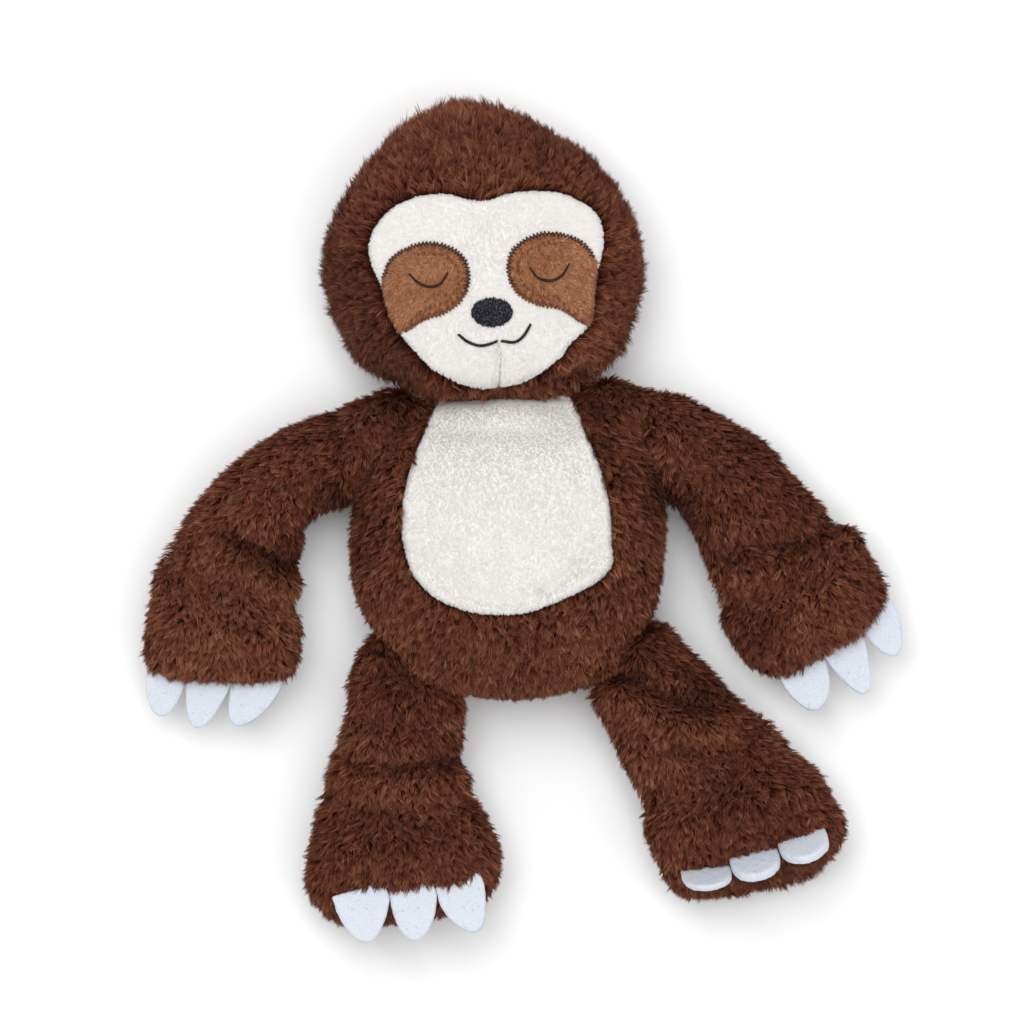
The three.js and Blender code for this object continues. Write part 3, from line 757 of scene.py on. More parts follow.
# How the forms lie in the photograph, in millimetres: places from the neck's fold, shifts, reaches
# and, on some, the height under which the shift holds
GRABS = {
    "head": [
        ((7, 106), (-0.5, -4.2), 22),
        ((-30, 104), (1.6, -2), 18),
        ((-46, 84), (-2, 1.4), 14),
        ((30, 90), (1.8, 1.6), 12),
        ((-64, 16), (3.4, 1.2), 18),
        ((57, 20), (-2.8, 0.6), 14),
    ],
    "torso": [
        ((71, -76), (-1.6, 0), 20),
        ((-56, -84), (-2, -0.4), 20),
        ((12, -124), (0, -1.8), 16),
    ],
    "right_arm": [
        ((-78, -20), (-1.2, 2.8), 22),
        ((-70, -54), (1, -3), 10),
        ((-77, -66), (2.2, -0.8), 9),
        ((-131, -73), (-3.6, 1.8), 10),
        ((-141, -94), (2, 0), 12),
        ((-81, -100), (5, -0.3), 13),
        ((-84, -118), (6.5, -1.8), 9),
        ((-134, -117), (-1.8, -3.6), 9),
        ((-118, -117), (-0.6, -5), 14),
        ((-97, -119), (0, -3.6), 12),
    ],
    "left_arm": [
        ((76, -12), (1, 3.4), 20),
        ((82, -52), (-10.5, -7.6), 13),
        ((109, -29), (1.4, 1.4), 12),
        ((96, -97), (-5.8, -1.8), 14),
        ((102, -113), (-3, -2.6), 10),
        ((143, -103), (2.2, -4), 14),
        ((118, -117), (1, -2.4), 12),
        ((119, -36), (-1.8, -1.5), 12),
        ((140, -64), (3.2, 4.6), 12),
    ],
    "right_leg": [
        ((-56, -119), (-8.5, 1), 12),
        ((-66, -166), (-3.8, 0.6), 12),
        ((-10, -173), (2.2, 1), 10),
        ((-73, -204), (-3.8, -0.4), 10),
        ((-50, -204), (0, -1.6), 12),
        ((-32, -203), (0, -4), 12),
        ((-12, -199), (1, -7.5), 10),
        ((-8, -171), (1.2, 1.2), 8),
        ((-13, -150), (1.6, 0), 8),
        ((0, -192), (3.2, 0), 11),
    ],
    "left_leg": [
        ((45, -135), (-4.2, -2.2), 13),
        ((64, -102), (1.4, 5.6), 9),
        ((76, -106), (-2, -2), 9),
        ((121, -145), (-3.2, -4.2), 11),
        ((61, -174), (-3.8, 0), 13),
        ((137, -182), (5.4, 0), 12),
        ((130, -194), (2, -2.2), 9),
        ((124, -190), (2, -3.6), 13),
        ((100, -199), (0.5, -1.5), 12),
        ((74, -203), (-2.6, -3), 11, 16),
        ((98, -204), (0.5, -4.6), 13, 16),
        ((120, -198), (1.5, -7), 13, 16),
    ],
}
# Painted light and shade: where the pile looks lighter or darker than the rest, a place, how much,
# and its reach, in millimetres
PAINTED_LIGHT_AND_SHADE = {
    "head": [
        ((-60, 40), -0.36, 30), ((-44, 4), -0.26, 18), ((56, 30), -0.14, 22),
        ((18, 84), -0.22, 9), ((-30, 98), 0.06, 20), ((0, -8), 0.16, 22), ((40, 90), -0.08, 30),
    ],
    "torso": [
        ((-50, -60), -0.1, 30), ((66, -46), -0.45, 10), ((-54, -50), -0.2, 10),
        ((46, -10), -0.25, 9), ((-40, -8), -0.3, 10),
    ],
    "right_arm": [
        ((-112, -102), 0.2, 28), ((-90, -45), 0.05, 26), ((-86, -71), -0.3, 10),
        ((-64, -50), -0.35, 11), ((-58, -18), -0.2, 9),
    ],
    "left_arm": [
        ((100, -50), -0.08, 40), ((70, -52), -0.6, 11), ((60, -18), -0.15, 10),
        ((112, -66), -0.12, 12),
    ],
    "right_leg": [((-42, -184), -0.16, 28), ((-40, -120), -0.15, 12)],
    "left_leg": [((95, -170), -0.1, 30), ((78, -128), -0.25, 12), ((50, -112), -0.2, 12)],
}
# The nodes that each body's skin takes the place of, and those that each form is grown from
PARTS = {
    "torso": ["body_front_cover", "body_back_cover", "body_filling"],
    "head": ["head_front_cover", "head_back_cover", "head_filling"],
}
FORMS = {"torso": [*PARTS["torso"], "belly_panel"], "head": [*PARTS["head"], "face_panel"]}


def end_of(limb):
    """The body at a limb's end"""
    side, kind = limb.split("_")
    return f"{side}_{ENDS[kind][0]}"


for limb in LIMBS:
    end, under = end_of(limb), ENDS[limb.split("_")[1]][1]
    PARTS[limb] = [f"{limb}_front_cover", f"{limb}_back_cover", f"{limb}_filling"]
    PARTS[end] = [f"{end}_top_cover", f"{end}_{under}_cover", f"{end}_filling"]
    FORMS[limb] = PARTS[limb] + PARTS[end]


def halfway(limb):
    """The plane between a limb's two folds, where its cover is cut in two: a point and a way"""
    start, end = joint_place(limb)[0], joint_place(end_of(limb))[0]
    return (start + end) / 2, (end - start).normalized()


def settle(piece, body):
    """Settles a skin or its pile: the head's and the torso's ride their bodies, and the neck's and
    the limbs' only have their places baked into their meshes
    """
    if body == "neck":
        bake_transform(piece)
    elif body in ("torso", "head"):
        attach(piece, body)
    else:
        out = limb_heading(body, PARTS[body][0])
        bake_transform(piece)


def half_cut(form, name, keep_far, plane):
    """One side of a form, cut along a plane and closed"""
    piece = added(name, form.data.copy())
    place, way = plane
    cuts = {"clear_inner": keep_far, "clear_outer": not keep_far}
    edit_all(piece, bpy.ops.mesh.bisect, plane_co=place, plane_no=way, use_fill=True, **cuts)
    return piece


class SewSkins(bpy.types.Operator):
    """Makes the stuffed backing-cloth skin of every body"""

    bl_idname = "sloth.sew_skins"
    bl_label = "Sew skins"

    def execute(self, context):
        pile = context.scene.sloth_pile
        tone = pile.backing[:]
        shade = [value * 0.5 for value in tone[:3]] + [1]
        backing = cloth("knitted_backing", tone, shade, 0.8, 0.4)
        for form, nodes in FORMS.items():
            lumps = []
            if form in LIMBS:
                place, axis = joint_place(form)
                place = place - limb_heading(form, nodes[0]) * 5 * MM
                lumps = [lump(place, (22 * MM, 18 * MM, 18 * MM), axis)]
            for across, up, *sizes in FILLS.get(form, []):
                lumps.append(lump(spot(across, up, 24), [size * MM for size in sizes], (1, 0, 0)))
            piece = outer_form(f"{form}_form", nodes, lumps)
            grab(piece, GRABS.get(form, []))
            if form in ("head", "torso"):
                lay = added(f"{form}_lay", piece.data.copy())
                sunk(lay, LAY_DEPTH)
                TREES[f"{form}_lay"] = tree_of(lay)
                bpy.data.objects.remove(lay)
            sunk(piece, pile.depth)
            pinch(piece, FOLDS[form])
            TREES[form] = tree_of(piece)
            SKINS[form] = piece
        neck = lump(NECK + Vector((0, 2 * MM, 0)), (36 * MM, 11 * MM, 16 * MM), (1, 0, 0))
        neck.name = "neck_form"
        modify(neck, "REMESH", mode="VOXEL", voxel_size=VOXEL)
        TREES["neck"] = tree_of(neck)
        SKINS["neck"] = neck
        for piece in SKINS.values():
            piece.data.materials.clear()
            piece.data.materials.append(backing)
            smooth_faces(piece)
        return {"FINISHED"}


def outline_of(node, count, table):
    """A flat piece's outline from above: its middle, and points round it"""
    tree = tree_of(frame["nodes"][node])
    low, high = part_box(node)
    middle = np.array(((low + high) / 2)[:2])
    turns = np.linspace(-math.pi, math.pi, count, endpoint=False)
    radii = np.empty(count)
    for i, turn in enumerate(turns):
        way = np.array([math.cos(turn), math.sin(turn)])
        reach = (high - low).length
        while reach > 0:
            x, y = middle + way * reach
            if seen_from_above(tree, x, y) is not None:
                break
            reach -= 0.3 * MM
        radii[i] = reach
    for _ in range(4):
        radii = (np.roll(radii, 1) + 2 * radii + np.roll(radii, -1)) / 4
    ways = np.stack([np.cos(turns), np.sin(turns)], 1)
    return middle, nudged(middle + radii[:, None] * ways, table)


def height_on(tree, points):
    """Heights of a surface under points seen from above; off its edge, those nearest it"""
    heights = []
    for x, y in points:
        place = seen_from_above(tree, x, y)
        if place is None:
            place = tree.find_nearest(Vector((x, y, NEAR)))[0]
        heights.append(place.z)
    return np.array(heights)


def draped(name, outline, tree, rings, lift, rim, shape=None):
    """A panel on a surface: rings inside an outline, lifted, with its rim turned down"""
    middle, edge = outline
    count = len(edge)
    shares = [1 - (1 - (k + 1) / rings) ** 1.4 for k in range(rings)]
    flat = np.concatenate([[middle]] + [middle + (edge - middle) * share for share in shares])
    closed = np.concatenate([edge, edge[:1]])
    inside = np.concatenate([distance_to(flat[:-count], closed), np.zeros(count)])
    heights = height_on(tree, flat) + lift
    heights -= rim * np.clip(1 - inside / (2.6 * MM), 0, 1) ** 2
    if shape:
        heights = heights + shape(flat)
    skirt = np.concatenate([edge, (heights[-count:] - 3 * MM)[:, None]], 1)
    points = np.concatenate([np.concatenate([flat, heights[:, None]], 1), skirt])
    faces = [(0, 1 + i, 1 + (i + 1) % count) for i in range(count)]
    for ring in range(rings):
        start = 1 + ring * count
        for i in range(count):
            after = (i + 1) % count
            faces.append((start + i, start + count + i, start + count + after, start + after))
    piece = drawn(name, points, faces)
    modify(piece, "SMOOTH", factor=0.5, iterations=6, use_x=False, use_y=False)
    modify(piece, "SOLIDIFY", thickness=0.8 * MM, offset=-1)
    smooth_faces(piece)
    return piece


def grooves(flat, lines):
    """Heights of creases: each a line, a width, a depth and the swell beside it, in millimetres"""
    heights = np.zeros(len(flat))
    for line, width, depth, swell in lines:
        away = distance_to(flat, trail(line)) / (width * MM)
        heights -= depth * MM * np.exp(-(away**2))
        heights += swell * MM * np.exp(-((away - 2) ** 2) / 2)
    return heights


# How the panels' outlines lie in the photograph, as the forms' table
PANEL_GRABS = {
    "head": [
        ((-47, 35), (2, 0.3), 9),
        ((44, 41), (-1.4, 0), 9),
        ((17, 77), (0, -2.4), 14),
        ((-5, 71.5), (0, -1.4), 9),
        ((34, 71), (0.6, -1.2), 8),
        ((35.6, 23.6), (1.2, -3), 7),
    ],
    "torso": [
        ((-22, -12), (1.6, 3.6), 10),
        ((4, -11), (0, 3.6), 13),
        ((30, -11), (0.2, 4.4), 10),
        ((46, -77), (3.6, -0.5), 9),
        ((26, -89), (0, 1.6), 12),
    ],
}
# The chin's dart and the panels' creases, in millimetres: a line, a width, a depth and the swell
# beside it
CREASES = {
    "face": [
        ([(1.6, 13), (2.7, 8), (2.3, 2), (2.1, -3.5)], 0.7, 1.3, 0),
        ([(2, 12), (2.5, 5), (2.1, -3.5)], 2.2, 0.5, 0.6),
    ],
    "belly": [
        ([(-28, -20), (-10, -23), (6, -22), (20, -23.5), (38, -19)], 3, 0.7, 0.3),
        ([(47, -68), (38, -73), (28, -80), (20, -86)], 2.6, 1.3, 0.8),
        ([(-37, -68), (-26, -76), (-14, -84), (-2, -89), (8, -90)], 3, 1, 0.6),
        ([(20, -86), (14, -88), (24, -91)], 1.5, 0.8, 0.3),
        ([(20, -12), (28, -14), (35, -13)], 2, 0.9, 0.3),
    ],
}
PANEL_POINTS = 260  # round a panel's outline
PATCH_POINTS = 180


class LayPanels(bpy.types.Operator):
    """Lays the white face and belly panels, with the dart and the creases that the filling gives"""

    bl_idname = "sloth.lay_panels"
    bl_label = "Lay panels"

    def execute(self, context):
        settings = context.scene.sloth_panel
        pale = [value * 0.92 for value in settings.white[:3]] + [1]
        white = cloth("sheared_white_pile", settings.white[:], pale, 0.7, 0.3)
        for name, node, body, uneven, size in (
            ("face", "face_panel", "head", 0.12, 9),
            ("belly", "belly_panel", "torso", 0.3, 14),
        ):
            def shape(flat):
                swells = uneven * MM * waves(spread(flat), size * MM, 3)
                return grooves(flat, CREASES[name]) + swells

            outline = outline_of(node, PANEL_POINTS, PANEL_GRABS[body])
            panel = draped(f"{name}_plush", outline, TREES[f"{body}_lay"], 60, 0, 1.6 * MM, shape)
            panel.data.materials.append(white)
            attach(panel, body)
            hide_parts(node)
            PANELS[name] = panel
            TREES[name] = tree_of(panel)
        return {"FINISHED"}


def stitches(name, runs):
    """Sewn stitches: each from one point to another, thick in the middle and sunk at its ends"""
    sides = 6
    # Where each ring of a stitch stands, and how thick and how high it is there
    stations = [
        (0.0, 0.45, -0.6), (0.2, 0.9, 0.1), (0.5, 1.0, 0.3), (0.8, 0.9, 0.1), (1.0, 0.45, -0.6),
    ]
    points, faces = [], []
    for start, end, thick in runs:
        start, end = Vector(start), Vector(end)
        run = (end - start).normalized()
        side = run.cross(UP).normalized()
        up = side.cross(run)
        base = len(points)
        for share, fat, rise in stations:
            centre = start.lerp(end, share) + up * thick * rise * 0.5
            for i in range(sides):
                angle = 2 * math.pi * i / sides
                out = side * math.cos(angle) + up * math.sin(angle)
                points.append(centre + out * thick * fat / 2)
        for ring in range(len(stations) - 1):
            for i in range(sides):
                after = (i + 1) % sides
                first = base + ring * sides
                faces.append((first + i, first + after, first + sides + after, first + sides + i))
        faces.append(tuple(base + i for i in reversed(range(sides))))
        faces.append(tuple(base + (len(stations) - 1) * sides + i for i in range(sides)))
    piece = drawn(name, points, faces)
    edit_all(piece, bpy.ops.mesh.normals_make_consistent, inside=False)
    smooth_faces(piece)
    return piece


def smoothed(points):
    """A smooth line through places in millimetres from the neck's fold"""
    line = trail(points)
    padded = np.concatenate([[2 * line[0] - line[1]], line, [2 * line[-1] - line[-2]]])
    fine = []
    for a, b, c, d in zip(padded, padded[1:], padded[2:], padded[3:]):
        for t in np.linspace(0, 1, 12, endpoint=False):
            bend = (2 * a - 5 * b + 4 * c - d) * t**2 + (3 * b - a - 3 * c + d) * t**3
            fine.append(0.5 * (2 * b + (c - a) * t + bend))
    return np.array(fine + [line[-1]])


def resampled(line, pitch, closed=False):
    """Points at an even pitch along a line"""
    line = np.asarray(line)
    if closed:
        line = np.concatenate([line, line[:1]])
    runs = np.concatenate([[0], np.cumsum(np.linalg.norm(np.diff(line, axis=0), axis=1))])
    count = max(2, round(runs[-1] / pitch))
    at = np.linspace(0, runs[-1], count, endpoint=not closed)
    return np.stack([np.interp(at, runs, line[:, i]) for i in range(line.shape[1])], 1)


def on_surface(tree, flat, lift):
    heights = height_on(tree, flat) + lift
    return [Vector((x, y, z)) for (x, y), z in zip(flat, heights)]


class EyePatches(bpy.types.Operator):
    """Lays the tan patches on the face, with their zigzag edge and rows of stitches"""

    bl_idname = "sloth.eye_patches"
    bl_label = "Eye patches"

    def execute(self, context):
        settings, sewing = context.scene.sloth_panel, context.scene.sloth_thread
        face = TREES["face"]
        face_middle, face_edge = outline_of("face_panel", PANEL_POINTS, PANEL_GRABS["head"])
        face_edge = np.concatenate([face_edge, face_edge[:1]])
        tan = cloth("sheared_tan_pile", settings.tan[:], settings.tan_shade[:], 0.6, 0.4)
        dark = thread_material("zigzag_thread", sewing.brown[:])
        rust = thread_material("row_thread", sewing.rust[:])
        rng = np.random.default_rng(17)
        for side in ("left", "right"):
            outline = outline_of(f"eye_patch_{side}", PATCH_POINTS, PANEL_GRABS["head"])
            rim = distance_to(outline[1], face_edge)
            out = unit(outline[1] - face_middle)
            outline[1][:] += out * (np.clip(1 - rim / (3 * MM), 0, 1) * 1.4 * MM)[:, None]
            patch = draped(f"eye_patch_plush_{side}", outline, face, 30, 0.9 * MM, 0.7 * MM)
            patch.data.materials.append(tan)
            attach(patch, "head")
            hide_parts(f"eye_patch_{side}")
            PANELS[f"patch_{side}"] = patch
            TREES[f"patch_{side}"] = tree_of(patch)
            teeth, lower, holes = self.edge(side, outline, face_edge, sewing, rng)
            places = KDTree(len(holes))
            for i, (x, y) in enumerate(holes):
                places.insert((x, y, 0), i)
            places.balance()
            HOLES[f"patch_{side}"] = places
            for name, runs, finish in (
                (f"patch_zigzag_{side}", teeth, dark),
                (f"patch_rows_{side}", lower, rust),
            ):
                piece = stitches(name, runs)
                piece.data.materials.append(finish)
                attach(piece, "head")
        return {"FINISHED"}

    def edge(self, side, outline, hem, sewing, rng):
        """The stitches round a patch: a dark zigzag above and its rust lower part, both out to the
        hem, with the holes of two rows inside it"""
        middle, edge = outline
        even = resampled(edge, sewing.pitch, closed=True)
        inward = unit(middle - even)
        to_nose = -1 if side == "left" else 1
        teeth, lower, holes = [], [], []
        for i, (place, way) in enumerate(zip(even, inward)):
            jitter = rng.normal(0, 0.12 * MM, 2)
            if distance_to(place[None], hem)[0] < 1.5 * MM:
                continue
            after = even[(i + 1) % len(even)]
            outer = place * 0.5 + after * 0.5 - way * 0.8 * MM + jitter
            row = teeth if place[1] > middle[1] - 3 * MM else lower
            for ends in ((place + way * 1.4 * MM, outer), (outer, after + way * 1.4 * MM)):
                row.append((*on_surface(TREES["face"], ends, 1.1 * MM), sewing.thread))
            if (place[0] - middle[0]) * to_nose > -4 * MM or place[1] < middle[1]:
                hole = place + way * (1.5 if i % 2 else 3.9) * MM + jitter
                ends = on_surface(TREES[f"patch_{side}"], (hole, hole + way * 0.7 * MM), 0.8 * MM)
                lower.append((*ends, sewing.thread))
                holes.append(hole)
        return teeth, lower, holes


def corded(name, points, tree, lift, widths):
    """A line of satin stitch: short slanting stitches of thread, side by side"""
    thick, pitch = 0.5 * MM, 0.42 * MM
    even = resampled(smoothed(points), pitch)
    runs = []
    for i in range(len(even) - 1):
        run = unit((even[i + 1] - even[i])[None])[0]
        across = np.array([-run[1], run[0]])
        half = np.interp(i / (len(even) - 2), *widths) / 2
        aside, ahead = across * half, run * half * 0.5
        ends = [even[i] - aside - ahead, even[i] + aside + ahead]
        runs.append((*on_surface(tree, ends, lift), thick))
    return stitches(name, runs)


# The embroidered lines, in millimetres from the neck's fold
EYELIDS = {
    "right": [(-33.7, 40.1), (-30.1, 36.6), (-25.7, 35), (-21.4, 36.1), (-18.1, 40.8)],
    "left": [(14.3, 42.5), (17.5, 38.6), (22.3, 37.4), (26.8, 39.4), (30.1, 44.5)],
}
MOUTH = [
    [(-14.1, 16.1), (-10.6, 13.3), (-6, 11.7), (-2, 12.2), (1.6, 13.6)],
    [(2.9, 13.5), (8.3, 13.1), (11.9, 15.8), (14.7, 20.5)],
]
# How wide a line is along its length: shares, and widths
LID_WIDTHS = ([0, 0.3, 0.7, 1], [0.7 * MM, 1.1 * MM, 1.1 * MM, 0.7 * MM])
MOUTH_WIDTHS = ([0, 0.2, 0.8, 1], [1.1 * MM, 1.2 * MM, 1.2 * MM, 1.0 * MM])


class Embroidery(bpy.types.Operator):
    """Sews the closed eyelids, the mouth and the nose"""

    bl_idname = "sloth.embroidery"
    bl_label = "Embroidery"

    def execute(self, context):
        sewing = context.scene.sloth_thread
        # The black thread's lighter flecks get a stronger painted glint
        black = thread_material("black_thread", sewing.black[:], 0.06)
        brown = thread_material("brown_thread", sewing.brown[:])
        face = TREES["face"]
        for side, points in EYELIDS.items():
            patch = TREES[f"patch_{side}"]
            lid = corded(f"eyelid_stitching_{side}", points, patch, 1.1 * MM, LID_WIDTHS)
            lid.data.materials.append(brown)
            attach(lid, "head")
            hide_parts(f"eyelid_{side}")
        halves = []
        for points in MOUTH:
            halves.append(corded("mouth_half", points, face, 1 * MM, MOUTH_WIDTHS))
        select_only(*halves)
        bpy.ops.object.join()
        mouth = bpy.context.object
        mouth.name = "mouth_stitching"
        nose = self.nose(face)
        for piece, node in ((mouth, "mouth"), (nose, "nose")):
            piece.data.materials.clear()
            piece.data.materials.append(black)
            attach(piece, "head")
            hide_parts(node)
        return {"FINISHED"}

    def nose(self, face):
        """A padded oval covered with upright satin stitches of uneven ends"""
        rng = np.random.default_rng(29)
        low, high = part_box("nose")
        middle, half = (low + high) / 2, (high - low) / 2
        runs = []
        columns = 52
        for layer, drop in ((0, 0.0), (1, 0.25)):
            for k in range(columns):
                across = -1 + 2 * (k + 0.5 + 0.4 * layer) / columns
                if abs(across) >= 1:
                    continue
                reach = half.y * math.sqrt(1 - across * across)
                cut = rng.uniform(-0.25, 0.25) * reach
                for bottom, top in ((-reach, cut), (cut, reach)):
                    x, stray = middle.x + across * half.x, rng.normal
                    ends = [
                        (x + stray(0, 0.06 * MM), middle.y + y + stray(0, 0.3 * MM))
                        for y in (bottom, top)
                    ]
                    places = on_surface(face, ends, 0)
                    for place, (x, y) in zip(places, ends):
                        away = ((x - middle.x) / half.x) ** 2 + ((y - middle.y) / half.y) ** 2
                        place.z += (0.9 + 1.5 * math.sqrt(max(0, 1 - away)) - drop) * MM
                    runs.append((*places, 0.46 * MM))
        bpy.ops.object.select_all(action="DESELECT")
        bpy.ops.mesh.primitive_uv_sphere_add(
            segments=40, ring_count=20, radius=1, location=(0, 0, 0)
        )
        pad = bpy.context.object
        surface = seen_from_above(face, middle.x, middle.y).z
        sizes = (half.x * 0.95, half.y * 0.95, 1.5 * MM)
        centre = Vector((middle.x, middle.y, surface + 0.1 * MM))
        pad.data.transform(Matrix.Translation(centre) @ Matrix.Diagonal((*sizes, 1)))
        sewn = stitches("nose_stitching", runs)
        select_only(pad, sewn)
        bpy.ops.object.join()
        return sewn


def felt_material():
    """Pressed wool-like felt: matt, with tufts of matted fibres 0.9 mm across, since single
    fibres are too fine to show, and greyer flecks of 2.2 mm where it is worn"""
    settings = bpy.context.scene.sloth_felt
    finish = {"Roughness": 0.95, "Specular IOR Level": 0.15}
    material, tree, shader = new_material("pressed_felt", finish)
    place = {"Vector": add_node(tree, "ShaderNodeTexCoord").outputs["Object"]}
    scale = {"Scale": 1 / (0.9 * MM), "Detail": 6, "Roughness": 0.7}
    fibres = add_node(tree, "ShaderNodeTexNoise", scale, place)
    flecks = add_node(tree, "ShaderNodeTexNoise", {"Scale": 1 / (2.2 * MM), "Detail": 4}, place)
    pale = settings.felt[:]
    shade = [value * 0.86 for value in pale[:3]] + [1]
    base = add_node(
        tree, "ShaderNodeValToRGB",
        links={"Fac": fibres.outputs["Fac"]}, stops=[(0.3, shade), (0.55, pale), (1, pale)],
    )
    worn = add_node(
        tree, "ShaderNodeValToRGB",
        links={"Fac": flecks.outputs["Fac"]}, stops=[(0.62, grey(0)), (0.74, grey(1))],
    )
    share = add_node(
        tree, "ShaderNodeMath", {"operation": "MULTIPLY", 1: 0.55}, {0: worn.outputs["Color"]}
    )
    flecked = add_node(
        tree, "ShaderNodeMix",
        {"data_type": "RGBA", "blend_type": "MIX", SECOND: settings.worn[:]},
        {FACTOR: share.outputs[0], FIRST: base.outputs["Color"]},
    )
    finished(tree, shader, flecked.outputs[MIXED], fibres, 0.6, 0.35)
    return material


TIPPED = "left_foot"  # lies tipped up, so that its claws are seen from their ends
LOWEST_SHOWS = 0.76  # so much of its lowest claw's end shows over the pile
# How narrow the other claws' tips are, as a share of their width
TAPERS = {"right_paw": 0.74, "left_paw": 0.68, "right_foot": 0.7}
# How the claws' tips lie: places from the neck's fold, shifts and reaches, in millimetres
CLAW_GRABS = [
    ("right_paw", (-117.8, -136.3), (-1.1, -4), 9),
    ("right_paw", (-100.5, -137.4), (-2.3, -2.1), 9),
    ("left_paw", (145.1, -121.9), (3.2, -4.8), 9),
    ("right_foot", (-31.7, -223), (-1, -2), 9),
    ("right_foot", (-9.7, -219.5), (1.6, -1.6), 9),
    ("right_foot", (-55, -207), (3.2, 0.6), 12),
    ("right_foot", (-35, -206), (3, 0), 11),
    ("right_foot", (-14, -201), (1.6, -2.6), 10),
]


def tapered(points, joint, narrow):
    """Draws a claw's sides in towards its tip, along its own length"""
    middle = points[:, :2].mean(0)
    ways = np.linalg.svd(points[:, :2] - middle, full_matrices=False)[2]
    outward = middle - np.array(joint[:2])
    along = max(ways, key=lambda way: abs(way @ outward))
    along = along * np.sign(along @ outward)
    across = np.array([-along[1], along[0]])
    reach = (points[:, :2] - middle) @ along
    start = np.percentile(reach, 35)
    share = np.clip((reach - start) / (reach.max() - start), 0, 1)
    aside = (points[:, :2] - middle) @ across
    shrunk = aside * (1 - (1 - narrow) * share)
    moved = points.copy()
    moved[:, :2] += (shrunk - aside)[:, None] * across
    return moved


class Claws(bpy.types.Operator):
    """Rounds and roughens the felt claws"""

    bl_idname = "sloth.claws"
    bl_label = "Claws"

    def execute(self, context):
        settings = context.scene.sloth_felt
        felt = felt_material()
        for end in map(end_of, LIMBS):
            nodes = [f"{end}_claw_{i + 1}" for i in range(3)]
            lowest = min(nodes, key=lambda node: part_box(node)[0].y)
            for i, node in enumerate(nodes):
                piece = copied(f"{node}_felt", node)
                modify(piece, "REMESH", mode="VOXEL", voxel_size=settings.voxel)
                modify(piece, "SMOOTH", factor=0.5, iterations=12 if end == TIPPED else 5)
                points, normals = vertices_of(piece), normals_of(piece)
                if end in TAPERS:
                    points = tapered(points, joint_place(end)[0], TAPERS[end])
                rough = 0.12 * MM * waves(points, 2.4 * MM, 60 + i) + 0.3 * MM
                set_vertices(piece, points + normals * rough[:, None])
                grab(piece, [entry[1:] for entry in CLAW_GRABS if entry[0] == end])
                if end == TIPPED and node == lowest:
                    points = vertices_of(piece)
                    top = points[:, 1].max()
                    points[:, 1] = top + (points[:, 1] - top) * LOWEST_SHOWS
                    set_vertices(piece, points)
                piece.data.materials.append(felt)
                smooth_faces(piece)
                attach(piece, end)
                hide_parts(node)
        return {"FINISHED"}


def head_flow(roots, normals):
    """Outwards from the face, upright above it, and down over the chin and behind"""
    away = (roots[:, :2] - np.array(spot(-1.7, 36)[:2])) / MM
    ways = unit(away)
    above = np.clip(away[:, 1] / 40, 0, 1)[:, None]
    below = np.clip(-(away[:, 1] + 18) / 14, 0, 1)[:, None]
    ways = ways * (1 - 0.45 * above) + np.array([0, 0.45]) * above
    ways = ways * (1 - 0.6 * below) + np.array([0, -0.8]) * below + np.array([0, -0.12])
    behind = (normals[:, 2] < -0.2)[:, None]
    return spread(np.where(behind, ways * 0.5 + np.array([0, -0.8]), ways))


def torso_flow(roots, normals):
    """Outwards from the belly and down"""
    away = unit((roots[:, :2] - np.array(spot(4.3, -50)[:2])) / MM)
    return spread(away * 0.2 + np.array([0, -1.0]))


def limb_flow(limb):
    """Along a limb from its root to its end and then on to the claws, and a little outwards"""
    end = end_of(limb)
    claws = [sum(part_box(f"{end}_claw_{i}"), Vector()) / 2 for i in (1, 2, 3)]
    stops = [joint_place(limb)[0], joint_place(end)[0], sum(claws, Vector()) / 3]
    stops = np.array([[*stop[:2], 0.022] for stop in stops])
    runs = unit(np.diff(stops, axis=0))

    def flow(roots, normals):
        past = np.clip(((roots - stops[1]) @ runs[1]) / (24 * MM) + 0.5, 0, 1)
        past = (past * past * (3 - 2 * past))[:, None]
        ways = runs[0] * (1 - past) + runs[1] * past
        away = roots - (stops[0] * (1 - past) + stops[1] * past)
        aside = away - (away * ways).sum(1)[:, None] * ways
        aside[:, 2] = 0
        return ways * 0.6 + aside / (110 * MM) + np.array([0, -0.6, -0.1])

    return flow


def face_flow(roots):
    """Outwards from between the eyes, and down towards the chin"""
    brow = np.array(spot(-1.7, 40)[:2])
    away = unit(roots[:, :2] - brow)
    low = np.clip((brow[1] - roots[:, 1]) / (30 * MM), 0, 1)[:, None]
    return spread(away + np.array([0, -0.4]) - np.array([0, 1.0]) * low)


def belly_flow(roots):
    """Straight down, as the nap is laid"""
    return np.tile([0.1, -1.0, 0.0], (len(roots), 1))


def patch_flow(side):
    """Outwards from over an eyelid, down and to the side"""
    centre = np.array((sum(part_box(f"eyelid_{side}"), Vector()) / 2)[:2]) + np.array([0, 4 * MM])
    down = np.array([0.5 if side == "left" else -0.6, -0.8])
    return lambda roots: spread(unit(roots[:, :2] - centre) * 0.6 + down)


